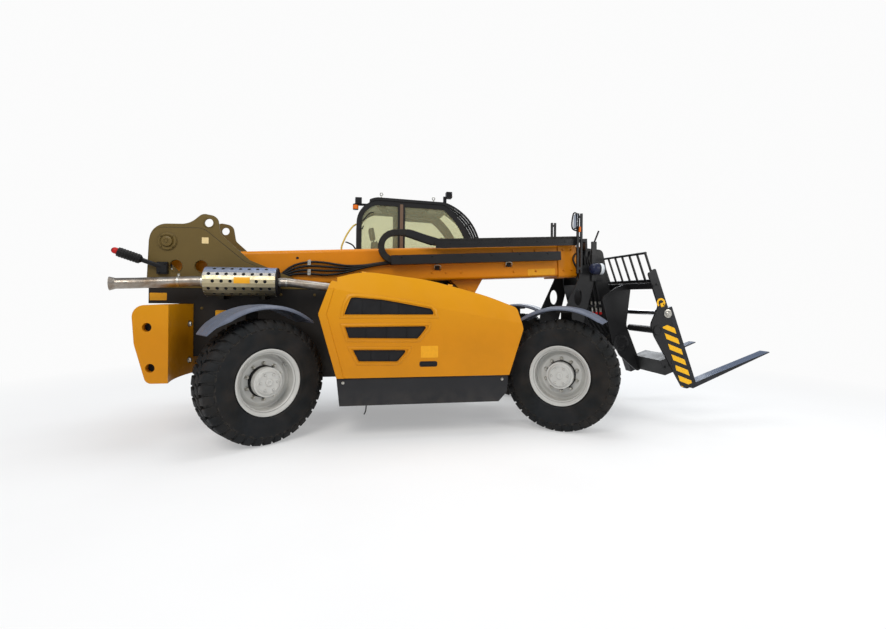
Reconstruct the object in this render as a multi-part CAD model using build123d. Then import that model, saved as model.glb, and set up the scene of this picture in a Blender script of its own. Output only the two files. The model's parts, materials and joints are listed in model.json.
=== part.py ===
from build123d import *
from math import atan2, cos, degrees, hypot, radians, sin, tan
import os

# A heavy telescopic handler on four steered wheels, with its fork carriage on. Millimetres.
# x runs forward from the rear axle, y to the machine's left, z up from the ground.
# Every node is written about the middle of the machine's overall box (see write).

# Wheels and steering
TYRE_R, TYRE_W = 675, 445
SIDEWALL_R, BEAD_R, SHOULDER = 548, 318, 55
BLOCK_COUNT = 36  # tread blocks down each shoulder
GROOVE_DEPTH, GROOVE_ANGLE, GROOVE_FALL = 24, 12, 0.35  # at its start, half of its V, and its fall outward
RIM_FLANGE_R, RIM_W, RIM_WALL = 362, 380, 14
WHEEL_DISC_OUT = 50  # outboard face of the wheel disc from the wheel's middle
HUB_R, HUB_OUT, DISH_R = 160, 165, 280
WHEELBASE = 3700
KINGPIN_Y, SCRUB = 880, 150
FRONT_STEER, REAR_STEER = -35, 35  # degrees about +z as it stands, front wheels right
RUN_GAP = 0.3  # between faces that slide or turn on each other
PIN_GAP = 0.05  # round a pin in its bore
SPINDLE_R = 55
YOKE_H, YOKE_T, KINGPIN_R = 160, 28, 45
KNUCKLE_H = YOKE_H - RUN_GAP
FENDER_R, FENDER_W, FENDER_T = 830, 450, 16
LEAF_LONG, LEAF_WIDE = 0.86, 0.62  # half axes of its plan over its radius and over its width
AXLE_Z = TYRE_R

# Chassis and towers
CHASSIS_HALF, PLATE_T = 400, 30
CHASSIS_BOTTOM, CHASSIS_TOP = 880, 1200
BELLY_REAR_X, BELLY_FRONT_X, BELLY_Z = 560, WHEELBASE - 550, 600
BODY_REAR_X, BODY_FRONT_X, BODY_TOP = -790, 726, 1690
CHASSIS_FRONT_X = WHEELBASE + 350
MIRROR_POST_TOP, GUIDE_TOP = 2770, 2390
TOWER_REAR_X, TOWER_TOP, TOWER_DOUBLER = -1300, 2465, 8
LIFT_EYE, LIFT_EYE_R = (-630, 2470), 50
PIVOT_X, PIVOT_Z, PIVOT_R = -1080, 2235, 60
WEIGHT_REAR_X, WEIGHT_HALF, WEIGHT_INNER = -1160, 1150, 430
WEIGHT_BOTTOM, WEIGHT_TOP = 690, 1500

# Boom, in its own axes: along it and square to it from the pivot
HEAD_HALF = 245
TRAY_SIDE, TRAY_BOTTOM = -392, -345
RAIL_START, RAIL_BOTTOM, RAIL_H = WHEELBASE - 510, -105, 45
CHAIN_X, CHAIN_HIGH, CHAIN_T, CHAIN_W = RAIL_START - 735, 110, 38, 92
CHAIN_Y = TRAY_SIDE + 65
TURN_LINKS, LINK_STEP = 11, 5
BOOM_RISE = 2.8  # degrees above level as it stands
BOOM_HALF, BOOM_TOP, BOOM_BOTTOM, BOOM_WALL = 250, -120, -565, 14
BOOM_START, BOOM_END = 420, WHEELBASE + 1516
COLLAR_START, COLLAR_GROW = BOOM_END - 270, 22
INNER_HALF, INNER_TOP, INNER_BOTTOM = 220, -150, -535
INNER_START, INNER_END = BOOM_START + 140, BOOM_END + 114
HEAD_PIVOT_X, HEAD_PIVOT_Z = WHEELBASE + 1000, 1000
LIFT_EYE_X, LIFT_EYE_Z = 2650, 1700
LIFT_BASE_X, LIFT_BASE_Z = 150, 1040

TILT_BASE_X, TILT_BASE_Z = HEAD_PIVOT_X - 330, 2050

# Fork carriage, upright axes about its pivot
TILT_EYE_A, TILT_EYE_H = 120, 420
CARRIAGE_TILT = 20
CARRIAGE_HALF = 1100
FRONT_A = 450
FORK_SHAFT_A, FORK_SHAFT_H = 420, 300
FORK_LENGTH, FORK_W = 1230, 150

# Cab, hood and side boxes
CAB_RIGHT, CAB_LEFT = 290, 1200
CAB_REAR_X, CAB_FRONT_X, CAB_BASE, CAB_TOP = 1110, WHEELBASE - 920, 1300, 3030
SILL_Z, SCREEN_TOP_X, CAB_PILLAR_X = 1850, CAB_FRONT_X - 415, CAB_REAR_X + 580
GUARD_BARS, GUARD_IN = 6, 130
CAB_SKIN, CAB_POST, CAB_ROOF_T, CAB_LIP, GLASS_T, DOOR_GAP = 45, 70, 40, 12, 6, 6
HINGE_LUG = 30
DOOR_HINGE_X, DOOR_HINGE_Y = CAB_PILLAR_X + 100, CAB_LEFT + 22
DOOR_HINGE_Z = (SILL_Z + 100, CAB_TOP - 380)
FRAME_TOP = 950
BAY_REAR_X, BAY_FRONT_X = 692, WHEELBASE - 645
HOOD_SIDE, HOOD_INNER, HOOD_T = 1150, 500, 22
HOOD_BOTTOM, HOOD_NOSE_Z, HOOD_TOP = 700, 1412, 1892
CREASE_REAR_Z, CREASE_FRONT_Z, HOOD_LEAN = 1720, 1300, 14
HOOD_HINGE_Y = -474
HOOD_HINGE_AT = ((0.215, 1894), (0.68, 1752))  # (share of the bay, z) of each hinge
HOOD_HINGES = [(BAY_REAR_X + share * (BAY_FRONT_X - BAY_REAR_X), z) for share, z in HOOD_HINGE_AT]
SEAT_Y, SEAT_RISE, DASH_TOP = 745, 490, CAB_TOP - 580
SKIRT_BOTTOM, SKIRT_SIDE = 390, 1130
HANGER_X = (1150, CAB_FRONT_X - 330)

# Exhaust
MUFFLER_X, MUFFLER_Y, MUFFLER_Z, MUFFLER_R = (-585, 191), -650, 1765, 165
PIPE_R, FRONT_PIPE_R = 60, 50
SHIELD_FACETS, SHIELD_COLUMNS, SHIELD_HOLE_R, SHIELD_EDGE = 24, 8, 20, 62

MARKER_END_X, MARKER_LENS_R = -1570, 34
FORK_TIP_H = -712
fork_tip_x = HEAD_PIVOT_X + (FRONT_A + 8 + FORK_LENGTH) * cos(radians(CARRIAGE_TILT)) \
    - FORK_TIP_H * sin(radians(CARRIAGE_TILT))
BOX_MIDDLE_X = (fork_tip_x + MARKER_END_X - MARKER_LENS_R) / 2


def write(name, shape):
    """Write one sub-part about the middle of the machine's box."""
    export_step(Pos(-BOX_MIDDLE_X, 0, 0) * shape, f"parts/{name}.step")


def block(x0, x1, y0, y1, z0, z1):
    return Pos((x0 + x1) / 2, (y0 + y1) / 2, (z0 + z1) / 2) * Box(x1 - x0, y1 - y0, z1 - z0)


def slab(points, y0, y1):
    """A plate with the (x, z) outline given, between two widths."""
    outline = make_face(Polyline(*[(x, y0, z) for x, z in points], close=True).edges())
    return extrude(outline, amount=y1 - y0, dir=(0, 1, 0))


def plate(corners, y0, y1):
    """A plate from a table of corners, each (x, z, corner radius), between two widths."""
    path = FilletPolyline(*[(x, y0, z) for x, z, _ in corners], radius=[r for _, _, r in corners], close=True)
    return extrude(make_face(path.edges()), amount=y1 - y0, dir=(0, 1, 0))


def across(x, z, radius, y0, y1):
    """A round bar across the machine."""
    return Pos(x, (y0 + y1) / 2, z) * Rot(90, 0, 0) * Cylinder(radius, abs(y1 - y0))


def bar(start, end, radius):
    """A round bar from one point to another."""
    start, end = Vector(*start), Vector(*end)
    along = end - start
    foot = Plane(origin=start, z_dir=along)
    return foot.location * Cylinder(radius, along.length, align=(Align.CENTER, Align.CENTER, Align.MIN))


def joined(shapes):
    """Several shapes fused into one."""
    shapes = list(shapes)
    return shapes[0] + shapes[1:] if len(shapes) > 1 else shapes[0]


def group(shapes):
    """Several solids that don't touch, kept apart in one node."""
    solids = []
    for shape in shapes:
        solids += shape.solids()
    return Compound(solids)


# ---------------------------------------------------------------- wheels


def ring(section):
    """A ring about the y axis from an outline of (y, radius) points."""
    outline = make_face(Polyline(*[(radius, y, 0) for y, radius in section], close=True).edges())
    return revolve(outline, axis=Axis.Y)


def tyre():
    """Wide tyre of flat facets, one to each tread pitch, with grooves between its shoulder blocks."""
    half, seat = TYRE_W / 2, RIM_W / 2 - 2 * RIM_WALL
    pitch = 360 / BLOCK_COUNT
    right = [  # (out from the middle, radius to a facet's middle)
        (seat, BEAD_R + RUN_GAP), (half, SIDEWALL_R), (half - SHOULDER, TYRE_R)]
    left = [(-y, radius) for y, radius in reversed(right)]
    chord = TYRE_R * tan(radians(pitch / 2)) + 1
    profile = make_face(Polyline(*[(-chord, y, radius) for y, radius in right + left], close=True).edges())
    far = 2 * TYRE_R
    wedge = slab([(0, 0), (-far * tan(radians(pitch / 2)), far), (far * tan(radians(pitch / 2)), far)], -TYRE_W, TYRE_W)
    facet = extrude(profile, amount=2 * chord, dir=(1, 0, 0)) & wedge
    facets = [Rot(0, pitch * i, 0) * facet for i in range(BLOCK_COUNT)]
    groove = tyre_groove()
    cuts = [Rot(0, pitch * (i + 0.5), 0) * groove for i in range(BLOCK_COUNT)]
    cuts += [Rot(0, pitch * i, 0) * mirror(groove, about=Plane.XZ) for i in range(BLOCK_COUNT)]
    return joined(facets) - cuts


def tyre_groove():
    """A wedge that deepens from the tread's middle out over the shoulder."""
    high, start = 160, 40
    spread = high * tan(radians(GROOVE_ANGLE))
    face = make_face(Polyline((0, start, TYRE_R - GROOVE_DEPTH), (spread, start, TYRE_R - GROOVE_DEPTH + high),
                              (-spread, start, TYRE_R - GROOVE_DEPTH + high), close=True).edges())
    return extrude(face, amount=TYRE_W / 2 - start + 10, dir=(0, 1, -GROOVE_FALL))


def rim(side):
    """Rim, dished disc and hub drum in one turned piece, its outer face away from the machine."""
    half, wall, well = RIM_W / 2, RIM_WALL, BEAD_R - RIM_WALL
    disc, bore = WHEEL_DISC_OUT, SPINDLE_R + RUN_GAP
    section = [  # (out of the machine, radius)
        (HUB_OUT + 22, 0), (HUB_OUT + 22, HUB_R - 35), (HUB_OUT, HUB_R - 18), (HUB_OUT, HUB_R),
        (disc, HUB_R + 5), (disc, DISH_R - 40), (disc - 25, DISH_R), (disc - 25, well), (half - 3 * wall, well),
        (half, RIM_FLANGE_R - wall), (half, RIM_FLANGE_R), (half - wall, RIM_FLANGE_R), (half - 2 * wall, BEAD_R),
        (2 * wall - half, BEAD_R), (wall - half, RIM_FLANGE_R), (-half, RIM_FLANGE_R),
        (-half, RIM_FLANGE_R - wall), (3 * wall - half, well), (disc - 45, well), (disc - 45, DISH_R),
        (disc - 20, DISH_R - 40), (disc - 20, bore), (HUB_OUT - 30, bore), (HUB_OUT - 30, 0)]
    shape = ring(section)
    return shape if side > 0 else mirror(shape, about=Plane.XZ)


def knuckle(side):
    """Steering knuckle on its kingpin, with the spindle and the arm that carries the mudguard."""
    body = Pos(0, -SCRUB, 0) * Cylinder(105, 2 * KNUCKLE_H)
    body += across(0, 0, 120, -SCRUB, WHEEL_DISC_OUT - 45)
    body += across(0, 0, SPINDLE_R, -SCRUB, HUB_OUT - 40)
    foot = YOKE_H + YOKE_T
    body += Pos(0, -SCRUB, 20) * Cylinder(KINGPIN_R, 2 * foot + 40)
    inboard, top = -TYRE_W / 2 - 45, FENDER_R - FENDER_T
    body += block(-70, 70, inboard, -SCRUB + 60, foot + 22, foot + 40)
    body += block(-70, 70, inboard, inboard + 18, foot + 22, top - 30)
    body += block(-70, 70, inboard, 60, top - 60, top - 30)
    body += block(-70, 70, -60, 60, top - 30, top)
    body -= fender(20, 20)
    return body if side > 0 else mirror(body, about=Plane.XZ)


def wheel_place(axle_x, side, steer):
    """Where a wheel's own axes lie: its middle, turned about its kingpin."""
    kingpin = Pos(axle_x, side * KINGPIN_Y, AXLE_Z)
    return kingpin * Rot(0, 0, steer) * Pos(0, side * SCRUB, 0)


def fender(front, rear):
    """A crowned mudguard over the wheel, in the wheel's own axes, narrowing to its two tips."""
    inner = FENDER_R - FENDER_T
    crown = [(-FENDER_W / 2, inner - 26), (-FENDER_W / 2, FENDER_R - 26), (-FENDER_W / 2 + 40, FENDER_R),
             (-40, FENDER_R), (0, FENDER_R + 7), (40, FENDER_R),
             (FENDER_W / 2 - 40, FENDER_R), (FENDER_W / 2, FENDER_R - 26), (FENDER_W / 2, inner - 26),
             (FENDER_W / 2 - 45, inner), (-FENDER_W / 2 + 45, inner)]
    outline = make_face(Polyline(*[(0, y, radius) for y, radius in crown], close=True).edges())
    shell = revolve(Rot(0, -rear, 0) * outline, axis=Axis.Y, revolution_arc=front + rear)
    leaf = extrude(Ellipse(FENDER_R * LEAF_LONG, FENDER_W * LEAF_WIDE), amount=2 * FENDER_R)
    return shell & leaf


WHEELS = (  # (name, axle x, side, steering as it stands, mudguard forward of the top, and behind it)
    ("front_right", WHEELBASE, -1, FRONT_STEER, 38, 38),
    ("front_left", WHEELBASE, 1, FRONT_STEER, 38, 38),
    ("rear_right", 0, -1, REAR_STEER, 40, 50),
    ("rear_left", 0, 1, REAR_STEER, 40, 50),
)


def wheels():
    tread = tyre()
    for name, axle_x, side, steer, front, rear in WHEELS:
        place = wheel_place(axle_x, side, steer)
        write(f"tyre_{name}", place * tread)
        write(f"rim_{name}", place * rim(side))
        write(f"knuckle_{name}", place * knuckle(side))
        write(f"fender_{name}", place * fender(front, rear))


def axle(axle_x):
    """Axle housing with a centre bowl and a yoke round each kingpin."""
    beam = across(axle_x, AXLE_Z, 95, -(KINGPIN_Y - 160), KINGPIN_Y - 160)
    bowl = across(axle_x, AXLE_Z, 190, -130, 130)
    saddle = block(axle_x - 110, axle_x + 110, -CHASSIS_HALF + 60, CHASSIS_HALF - 60, AXLE_Z, CHASSIS_BOTTOM)
    shapes = [beam, bowl, saddle]
    for side in (-1, 1):
        y0, y1 = sorted((side * (KINGPIN_Y - 190), side * (KINGPIN_Y - 150)))
        shapes.append(block(axle_x - 90, axle_x + 90, y0, y1, AXLE_Z - YOKE_H - YOKE_T, AXLE_Z + YOKE_H + YOKE_T))
        for z in (YOKE_H, -YOKE_H - YOKE_T):
            y0, y1 = sorted((side * (KINGPIN_Y - 190), side * KINGPIN_Y))
            arm = block(axle_x - 75, axle_x + 75, y0, y1, AXLE_Z + z, AXLE_Z + z + YOKE_T)
            arm += Pos(axle_x, side * KINGPIN_Y, AXLE_Z + z + YOKE_T / 2) * Cylinder(75, YOKE_T)
            bore = Pos(axle_x, side * KINGPIN_Y, AXLE_Z + z + YOKE_T / 2) * Cylinder(KINGPIN_R + PIN_GAP, YOKE_T + 2)
            shapes.append(arm - bore)
    return joined(shapes)


# ---------------------------------------------------------------- chassis


def chassis_frame():
    """Two side plates joined by cross plates, from the rear body to the front axle."""
    side = slab([(BODY_REAR_X, CHASSIS_BOTTOM), (BODY_REAR_X, WEIGHT_TOP + 5), (TOWER_REAR_X + 20, WEIGHT_TOP + 5),
                 (TOWER_REAR_X + 20, BODY_TOP), (BODY_FRONT_X, BODY_TOP), (BODY_FRONT_X + 180, CHASSIS_TOP),
                 (1060, FRAME_TOP), (BELLY_FRONT_X - 310, FRAME_TOP), (BELLY_FRONT_X - 150, 1120),
                 (BELLY_FRONT_X + 50, 1140), (CHASSIS_FRONT_X, 1060),
                 (CHASSIS_FRONT_X, CHASSIS_BOTTOM), (BELLY_FRONT_X + 140, CHASSIS_BOTTOM),
                 (BELLY_FRONT_X, BELLY_Z), (BELLY_REAR_X, BELLY_Z), (BELLY_REAR_X - 140, CHASSIS_BOTTOM)],
                CHASSIS_HALF - PLATE_T, CHASSIS_HALF)
    inner = CHASSIS_HALF - PLATE_T
    cross = [  # (x0, x1, z0, z1)
        (BODY_REAR_X, BELLY_REAR_X - 140, CHASSIS_BOTTOM, CHASSIS_BOTTOM + 20),
        (BELLY_REAR_X, BELLY_FRONT_X, BELLY_Z, BELLY_Z + 20),
        (BELLY_FRONT_X + 140, CHASSIS_FRONT_X, CHASSIS_BOTTOM, CHASSIS_BOTTOM + 20),
        (BODY_REAR_X, BODY_REAR_X + 25, CHASSIS_BOTTOM + 20, WEIGHT_TOP + 25),
        (TOWER_REAR_X + 20, BODY_REAR_X, WEIGHT_TOP + 5, WEIGHT_TOP + 25),
        (CHASSIS_FRONT_X - 25, CHASSIS_FRONT_X, CHASSIS_BOTTOM + 20, 1060),
        (2200, 2225, BELLY_Z + 20, FRAME_TOP),
        (BELLY_REAR_X, BELLY_REAR_X + 25, BELLY_Z + 20, 980)]
    shapes = [side, mirror(side, about=Plane.XZ)]
    shapes += [block(x0, x1, -inner, inner, z0, z1) for x0, x1, z0, z1 in cross]
    for y in (-130, 96):
        shapes.append(slab([(LIFT_BASE_X - 120, CHASSIS_BOTTOM + 20), (LIFT_BASE_X - 70, LIFT_BASE_Z + 70),
                            (LIFT_BASE_X + 70, LIFT_BASE_Z + 70), (LIFT_BASE_X + 150, CHASSIS_BOTTOM + 20)],
                           y, y + 34))
    shapes.append(across(LIFT_BASE_X, LIFT_BASE_Z, 45, -140, 140))
    shapes += hood_posts()
    shapes += cab_supports()
    for x in HANGER_X:
        shapes.append(block(x, x + 120, -HOOD_SIDE + 110, -CHASSIS_HALF, FRAME_TOP - 20, FRAME_TOP))
        for side in (-1, 1):
            y = sorted((side * CHASSIS_HALF, side * (CHASSIS_HALF + 20)))
            shapes.append(block(x, x + 120, *y, SKIRT_BOTTOM + 110, FRAME_TOP - 20))
    return joined(shapes)


def towers():
    """Two tall plates, each doubled inside its border, that carry the boom's pivot between them."""
    y0, y1, y2 = CHASSIS_HALF - PLATE_T, CHASSIS_HALF, CHASSIS_HALF + TOWER_DOUBLER
    outline = [  # (x, z, corner radius)
        (TOWER_REAR_X, BODY_TOP, 0), (TOWER_REAR_X + 30, TOWER_TOP - 25, 190), (LIFT_EYE[0] - 215, TOWER_TOP - 15, 240),
        (LIFT_EYE[0] - 70, LIFT_EYE[1] + 110, 90), (LIFT_EYE[0] + 95, LIFT_EYE[1] + 80, 90),
        (LIFT_EYE[0] + 130, LIFT_EYE[1] - 130, 80), (-170, 2037, 60), (BODY_FRONT_X - 60, BODY_TOP, 0)]
    side = plate(outline, y0, y1)
    doubler = [
        (TOWER_REAR_X, BODY_TOP, 0), (TOWER_REAR_X + 28, TOWER_TOP - 70, 160), (LIFT_EYE[0] - 60, TOWER_TOP - 62, 200),
        (-230, 2020, 60), (BODY_FRONT_X - 190, BODY_TOP, 0)]
    side += plate(doubler, y1, y2)
    for x in (-985, -710):
        side -= across(x, 1950, 70, y0 - 1, y2 + 1)
    side -= across(*LIFT_EYE, LIFT_EYE_R, y0 - 1, y2 + 1)
    side += across(PIVOT_X, PIVOT_Z, 105, y2, y2 + 14)
    side -= across(PIVOT_X, PIVOT_Z, PIVOT_R + PIN_GAP, y0 - 1, y2 + 15)
    pin = across(PIVOT_X, PIVOT_Z, PIVOT_R, -y2 - 30, y2 + 30)
    return group([side, mirror(side, about=Plane.XZ), pin])


def counterweight():
    """Cast weight across the tail: rounded in side view, hollowed in front for the wheels' sweep."""
    height = plate([(WEIGHT_REAR_X, WEIGHT_TOP, 120), (WEIGHT_REAR_X + 30, 1100, 200),
                    (WEIGHT_REAR_X + 145, WEIGHT_BOTTOM, 70), (BODY_REAR_X, WEIGHT_BOTTOM, 0),
                    (BODY_REAR_X, WEIGHT_TOP, 0)], -WEIGHT_HALF, WEIGHT_HALF)
    plan = [Line((WEIGHT_REAR_X - 60, 0), (BODY_REAR_X, 0)), Line((BODY_REAR_X, 0), (BODY_REAR_X, -WEIGHT_INNER)),
            ThreePointArc((BODY_REAR_X, -WEIGHT_INNER), (BODY_REAR_X - 50, -0.72 * WEIGHT_HALF),
                          (BODY_REAR_X - 15, -WEIGHT_HALF)),
            Line((BODY_REAR_X - 15, -WEIGHT_HALF), (WEIGHT_REAR_X - 60, -WEIGHT_HALF)),
            Line((WEIGHT_REAR_X - 60, -WEIGHT_HALF), (WEIGHT_REAR_X - 60, 0))]
    half = Pos(0, 0, WEIGHT_BOTTOM - 1) * extrude(make_face(plan), amount=WEIGHT_TOP - WEIGHT_BOTTOM + 2)
    shape = height & (half + mirror(half, about=Plane.XZ))
    for x, z in ((WEIGHT_REAR_X + 150, WEIGHT_TOP - 230), (WEIGHT_REAR_X + 183, WEIGHT_BOTTOM + 160)):
        for side in (-1, 1):
            shape -= across(x, z, 45, side * (WEIGHT_HALF - 80), side * (WEIGHT_HALF + 1))
            shape -= Pos(BODY_REAR_X - 50, side * (WEIGHT_INNER + 60), z) * Rot(0, 90, 0) * Cylinder(40, 102)
    return shape


def front_lamp_frame():
    """Plate either side of the boom's head, carrying headlamps, a tall mirror post and a guide."""
    x, y0, y1, y2 = CHASSIS_FRONT_X, CHASSIS_HALF, CHASSIS_HALF + 20, CHASSIS_HALF + 50
    side = plate([(x - 170, 1090, 0), (x - 150, 1420, 120), (x + 69, 1890, 60), (x + 69, 2060, 20),
                  (x + 280, 2060, 40), (x + 280, 1800, 120), (x + 150, 1300, 120), (x + 60, 900, 40),
                  (x - 100, 900, 40)], y0, y1)
    side -= Pos(x + 60, y0 + 10, 1620) * Rot(90, 0, 0) * extrude(Ellipse(60, 110), 40, both=True)
    for post_x in (x + 20, x + 72):
        side += block(post_x, post_x + 28, y1, y2, 1950, MIRROR_POST_TOP)
    side += block(x + 20, x + 100, y1, y2, 2000, 2040)
    side += block(x + 20, x + 100, y1, y2, MIRROR_POST_TOP - 60, MIRROR_POST_TOP - 30)
    guide = block(x + 240, x + 310, y1, y2, 1850, GUIDE_TOP) + bar(
        (x + 275, y1 + 15, GUIDE_TOP - 20), (x + 345, y1 + 15, GUIDE_TOP + 150), 12)
    return group([mirror(side + guide, about=Plane.XZ), side + guide])


def headlamps():
    """Domed lamps on brackets off the two lamp plates."""
    lamps = []
    x, z = CHASSIS_FRONT_X + 270, 2010
    for side in (-1, 1):
        y = side * (CHASSIS_HALF + 135)
        shell = Pos(x + 20, y, z) * Rot(0, 90, 0) * Cylinder(75, 110) + Pos(x - 35, y, z) * Sphere(75)
        shell += block(x - 60, x - 30, *sorted((y, side * (CHASSIS_HALF + 50))), z - 20, z + 20)
        lamps.append(shell)
    return group(lamps)


def cab_lamps():
    """Work lamps on the roof's front corners, and one with the beacon behind."""
    lamps = []
    for y in (CAB_RIGHT + 60, CAB_LEFT - 60):
        x, z = SCREEN_TOP_X + 65, CAB_TOP + 66
        lamp = block(x - 35, x + 45, y - 50, y + 50, z - 45, z + 45)
        lamps.append(lamp + block(x - 75, x - 30, y - 15, y + 15, CAB_TOP - 70, z - 20) - cab_roof())
    x, y, z = CAB_REAR_X + 30, CAB_RIGHT + 55, CAB_TOP - 68
    rear = block(x - 50, x + 40, y - 45, y + 45, z - 50, z + 40) + block(x - 30, x + 120, y - 12, y + 12, z - 70, z - 40)
    rear += Pos(x - 45, y, z - 90) * Cylinder(38, 80) + block(x - 60, x - 20, y - 12, y + 12, z - 60, z - 40)
    lamps.append(rear - cab_roof() - cab_slab(0, CAB_RIGHT, CAB_LEFT))
    return group(lamps)


# ---------------------------------------------------------------- engine bay


def bay(share):
    """A place along the engine bay, as a share of its length from the rear."""
    return BAY_REAR_X + share * (BAY_FRONT_X - BAY_REAR_X)


def hood_body(inset):
    """The hood's full form drawn in by an inset, its side leaning inward above the crease."""
    outline = [  # (share of the bay, z, corner radius)
        (0.0, HOOD_NOSE_Z, 60), (0.06, HOOD_TOP - 92, 150), (0.207, HOOD_TOP, 900), (0.524, 1803, 2500), (0.813, 1628, 2500),
        (0.97, 1490, 80), (1.0, 1240, 80), (0.927, HOOD_BOTTOM, 0), (0.086, HOOD_BOTTOM, 0)]
    body = plate([(bay(share), z, radius) for share, z, radius in outline], -HOOD_SIDE, -HOOD_INNER)
    if inset:
        face = body.faces().sort_by(Axis.Y)[0]
        depth = HOOD_SIDE - HOOD_INNER - inset + 1
        body = Pos(0, inset, 0) * extrude(offset(face, -inset), amount=depth, dir=(0, 1, 0))
    y = inset - HOOD_SIDE
    crease = Vector(BAY_FRONT_X - BAY_REAR_X, 0, CREASE_FRONT_Z - CREASE_REAR_Z)
    lean = Vector(0, sin(radians(HOOD_LEAN)), cos(radians(HOOD_LEAN)))
    crown = Plane(origin=(BAY_REAR_X, y, CREASE_REAR_Z), x_dir=crease, z_dir=crease.cross(lean))
    return split(body, bisect_by=crown, keep=Keep.BOTTOM)


def hood_vents(grow, y0, y1):
    """The three air openings in the hood's side, grown by an edge, between two widths."""
    vents = [  # corners as (share of the bay, z, corner radius)
        [(0.118, 1402, 12), (0.15, 1601, 45), (0.296, 1576, 300), (0.534, 1474, 40), (0.546, 1404, 20)],
        [(0.122, 1269, 12), (0.514, 1278, 20), (0.466, 1131, 20), (0.14, 1142, 20)],
        [(0.159, 1015, 12), (0.417, 1008, 20), (0.369, 874, 20), (0.187, 881, 20)]]
    shapes = []
    for vent in vents:
        face = plate([(bay(share), z, radius) for share, z, radius in vent], y0, y1).faces().sort_by(Axis.Y)[0]
        shapes.append(extrude(offset(face, grow) if grow else face, amount=y1 - y0, dir=(0, 1, 0)))
    return shapes


def hood():
    """Engine cover on the right side, open behind for the exhaust; hinged at its inner top edge."""
    shell = hood_body(0) - hood_body(HOOD_T)
    inner = (-HOOD_SIDE + HOOD_T, -HOOD_INNER + 1)
    shell -= block(bay(0.086) + HOOD_T + 4, bay(0.927) - HOOD_T - 4, *inner, HOOD_BOTTOM - 1, HOOD_BOTTOM + HOOD_T + 1)
    shell -= block(BAY_REAR_X - 1, bay(0.06) + 60, *inner, HOOD_NOSE_Z - 17, HOOD_TOP + 10)
    shell -= hood_vents(0, -HOOD_SIDE - 1, -HOOD_SIDE + HOOD_T + 1)
    for x, z in HOOD_HINGES:
        leaf = block(x - HINGE_LUG, x + HINGE_LUG, -HOOD_INNER - 40, HOOD_HINGE_Y, z - 22, z - 10)
        eye = hood_hinge_bar(x, z, 22, HINGE_LUG)
        shell += leaf + eye - hood_hinge_bar(x, z, 10 + RUN_GAP, HINGE_LUG + 20)
    return shell


def hood_grilles():
    """Mesh panels held behind the hood's air openings."""
    return group(hood_vents(14, -HOOD_SIDE + HOOD_T, -HOOD_SIDE + HOOD_T + 6))


def hood_hinge_bar(x, z, radius, reach):
    """A round bar on the hood's hinge line, to either side of one hinge."""
    (x0, z0), (x1, z1) = HOOD_HINGES
    slope = (z1 - z0) / (x1 - x0)
    return bar((x - reach, HOOD_HINGE_Y, z - reach * slope), (x + reach, HOOD_HINGE_Y, z + reach * slope), radius)


def hood_posts():
    """Posts from the chassis that carry the hood's hinge pins."""
    shapes = []
    for x, z in HOOD_HINGES:
        for x0 in (x - HINGE_LUG - 29, x + HINGE_LUG + 5):
            shapes.append(block(x0, x0 + 24, HOOD_HINGE_Y - 14, HOOD_HINGE_Y + 14, FRAME_TOP, z + 14))
        shapes.append(hood_hinge_bar(x, z, 10, HINGE_LUG + 29))
        shapes.append(block(x - 60, x + 60, HOOD_HINGE_Y - 30, -CHASSIS_HALF, FRAME_TOP - 20, FRAME_TOP))
    return shapes


def cab_supports():
    """Two cross members on uprights, with a rubber mount under each corner of the cab."""
    shapes = []
    for x in (CAB_REAR_X + 60, CAB_FRONT_X - 240):
        shapes.append(block(x, x + 120, CAB_RIGHT + 110, CAB_LEFT - 60, CAB_BASE - 110, CAB_BASE - 20))
        shapes.append(block(x, x + 120, CHASSIS_HALF - PLATE_T, CHASSIS_HALF, FRAME_TOP - 10, CAB_BASE - 100))
        shapes.append(slab([(x + 45, FRAME_TOP - 110), (x + 75, FRAME_TOP - 110), (x + 75, CAB_BASE - 100),
                            (x + 45, CAB_BASE - 100)], CHASSIS_HALF, CHASSIS_HALF + 260))
        for y in (CAB_RIGHT + 170, CAB_LEFT - 120):
            shapes.append(Pos(x + 60, y, CAB_BASE - 12) * Cylinder(45, 24))
    return shapes


def engine_block():
    return block(bay(0.13), bay(0.765), -HOOD_SIDE + 110, -HOOD_INNER - 60, FRAME_TOP, BODY_TOP - 90)


def side_boxes():
    """Slate skirt under the hood, and the tank with its two steps to match on the left."""
    top = HOOD_BOTTOM - 8
    skirt = plate([(bay(0.086), top, 0), (bay(0.1), SKIRT_BOTTOM, 0), (bay(0.875), SKIRT_BOTTOM, 0),
                   (bay(0.918), SKIRT_BOTTOM + 110, 0), (bay(0.924), top, 0)], -SKIRT_SIDE, -CHASSIS_HALF - 20)
    tank = plate([(bay(0.086), 810, 60), (bay(0.1), SKIRT_BOTTOM, 60), (bay(0.875), SKIRT_BOTTOM, 40),
                  (bay(0.918), SKIRT_BOTTOM + 110, 40), (bay(0.924), 810, 60)], CHASSIS_HALF + 20, SKIRT_SIDE)
    for low, high in ((430, 600), (640, 811)):
        tank -= block(CAB_FRONT_X - 800, CAB_FRONT_X - 320, SKIRT_SIDE - 190, SKIRT_SIDE + 1, low, high)
    return skirt, tank


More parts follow.
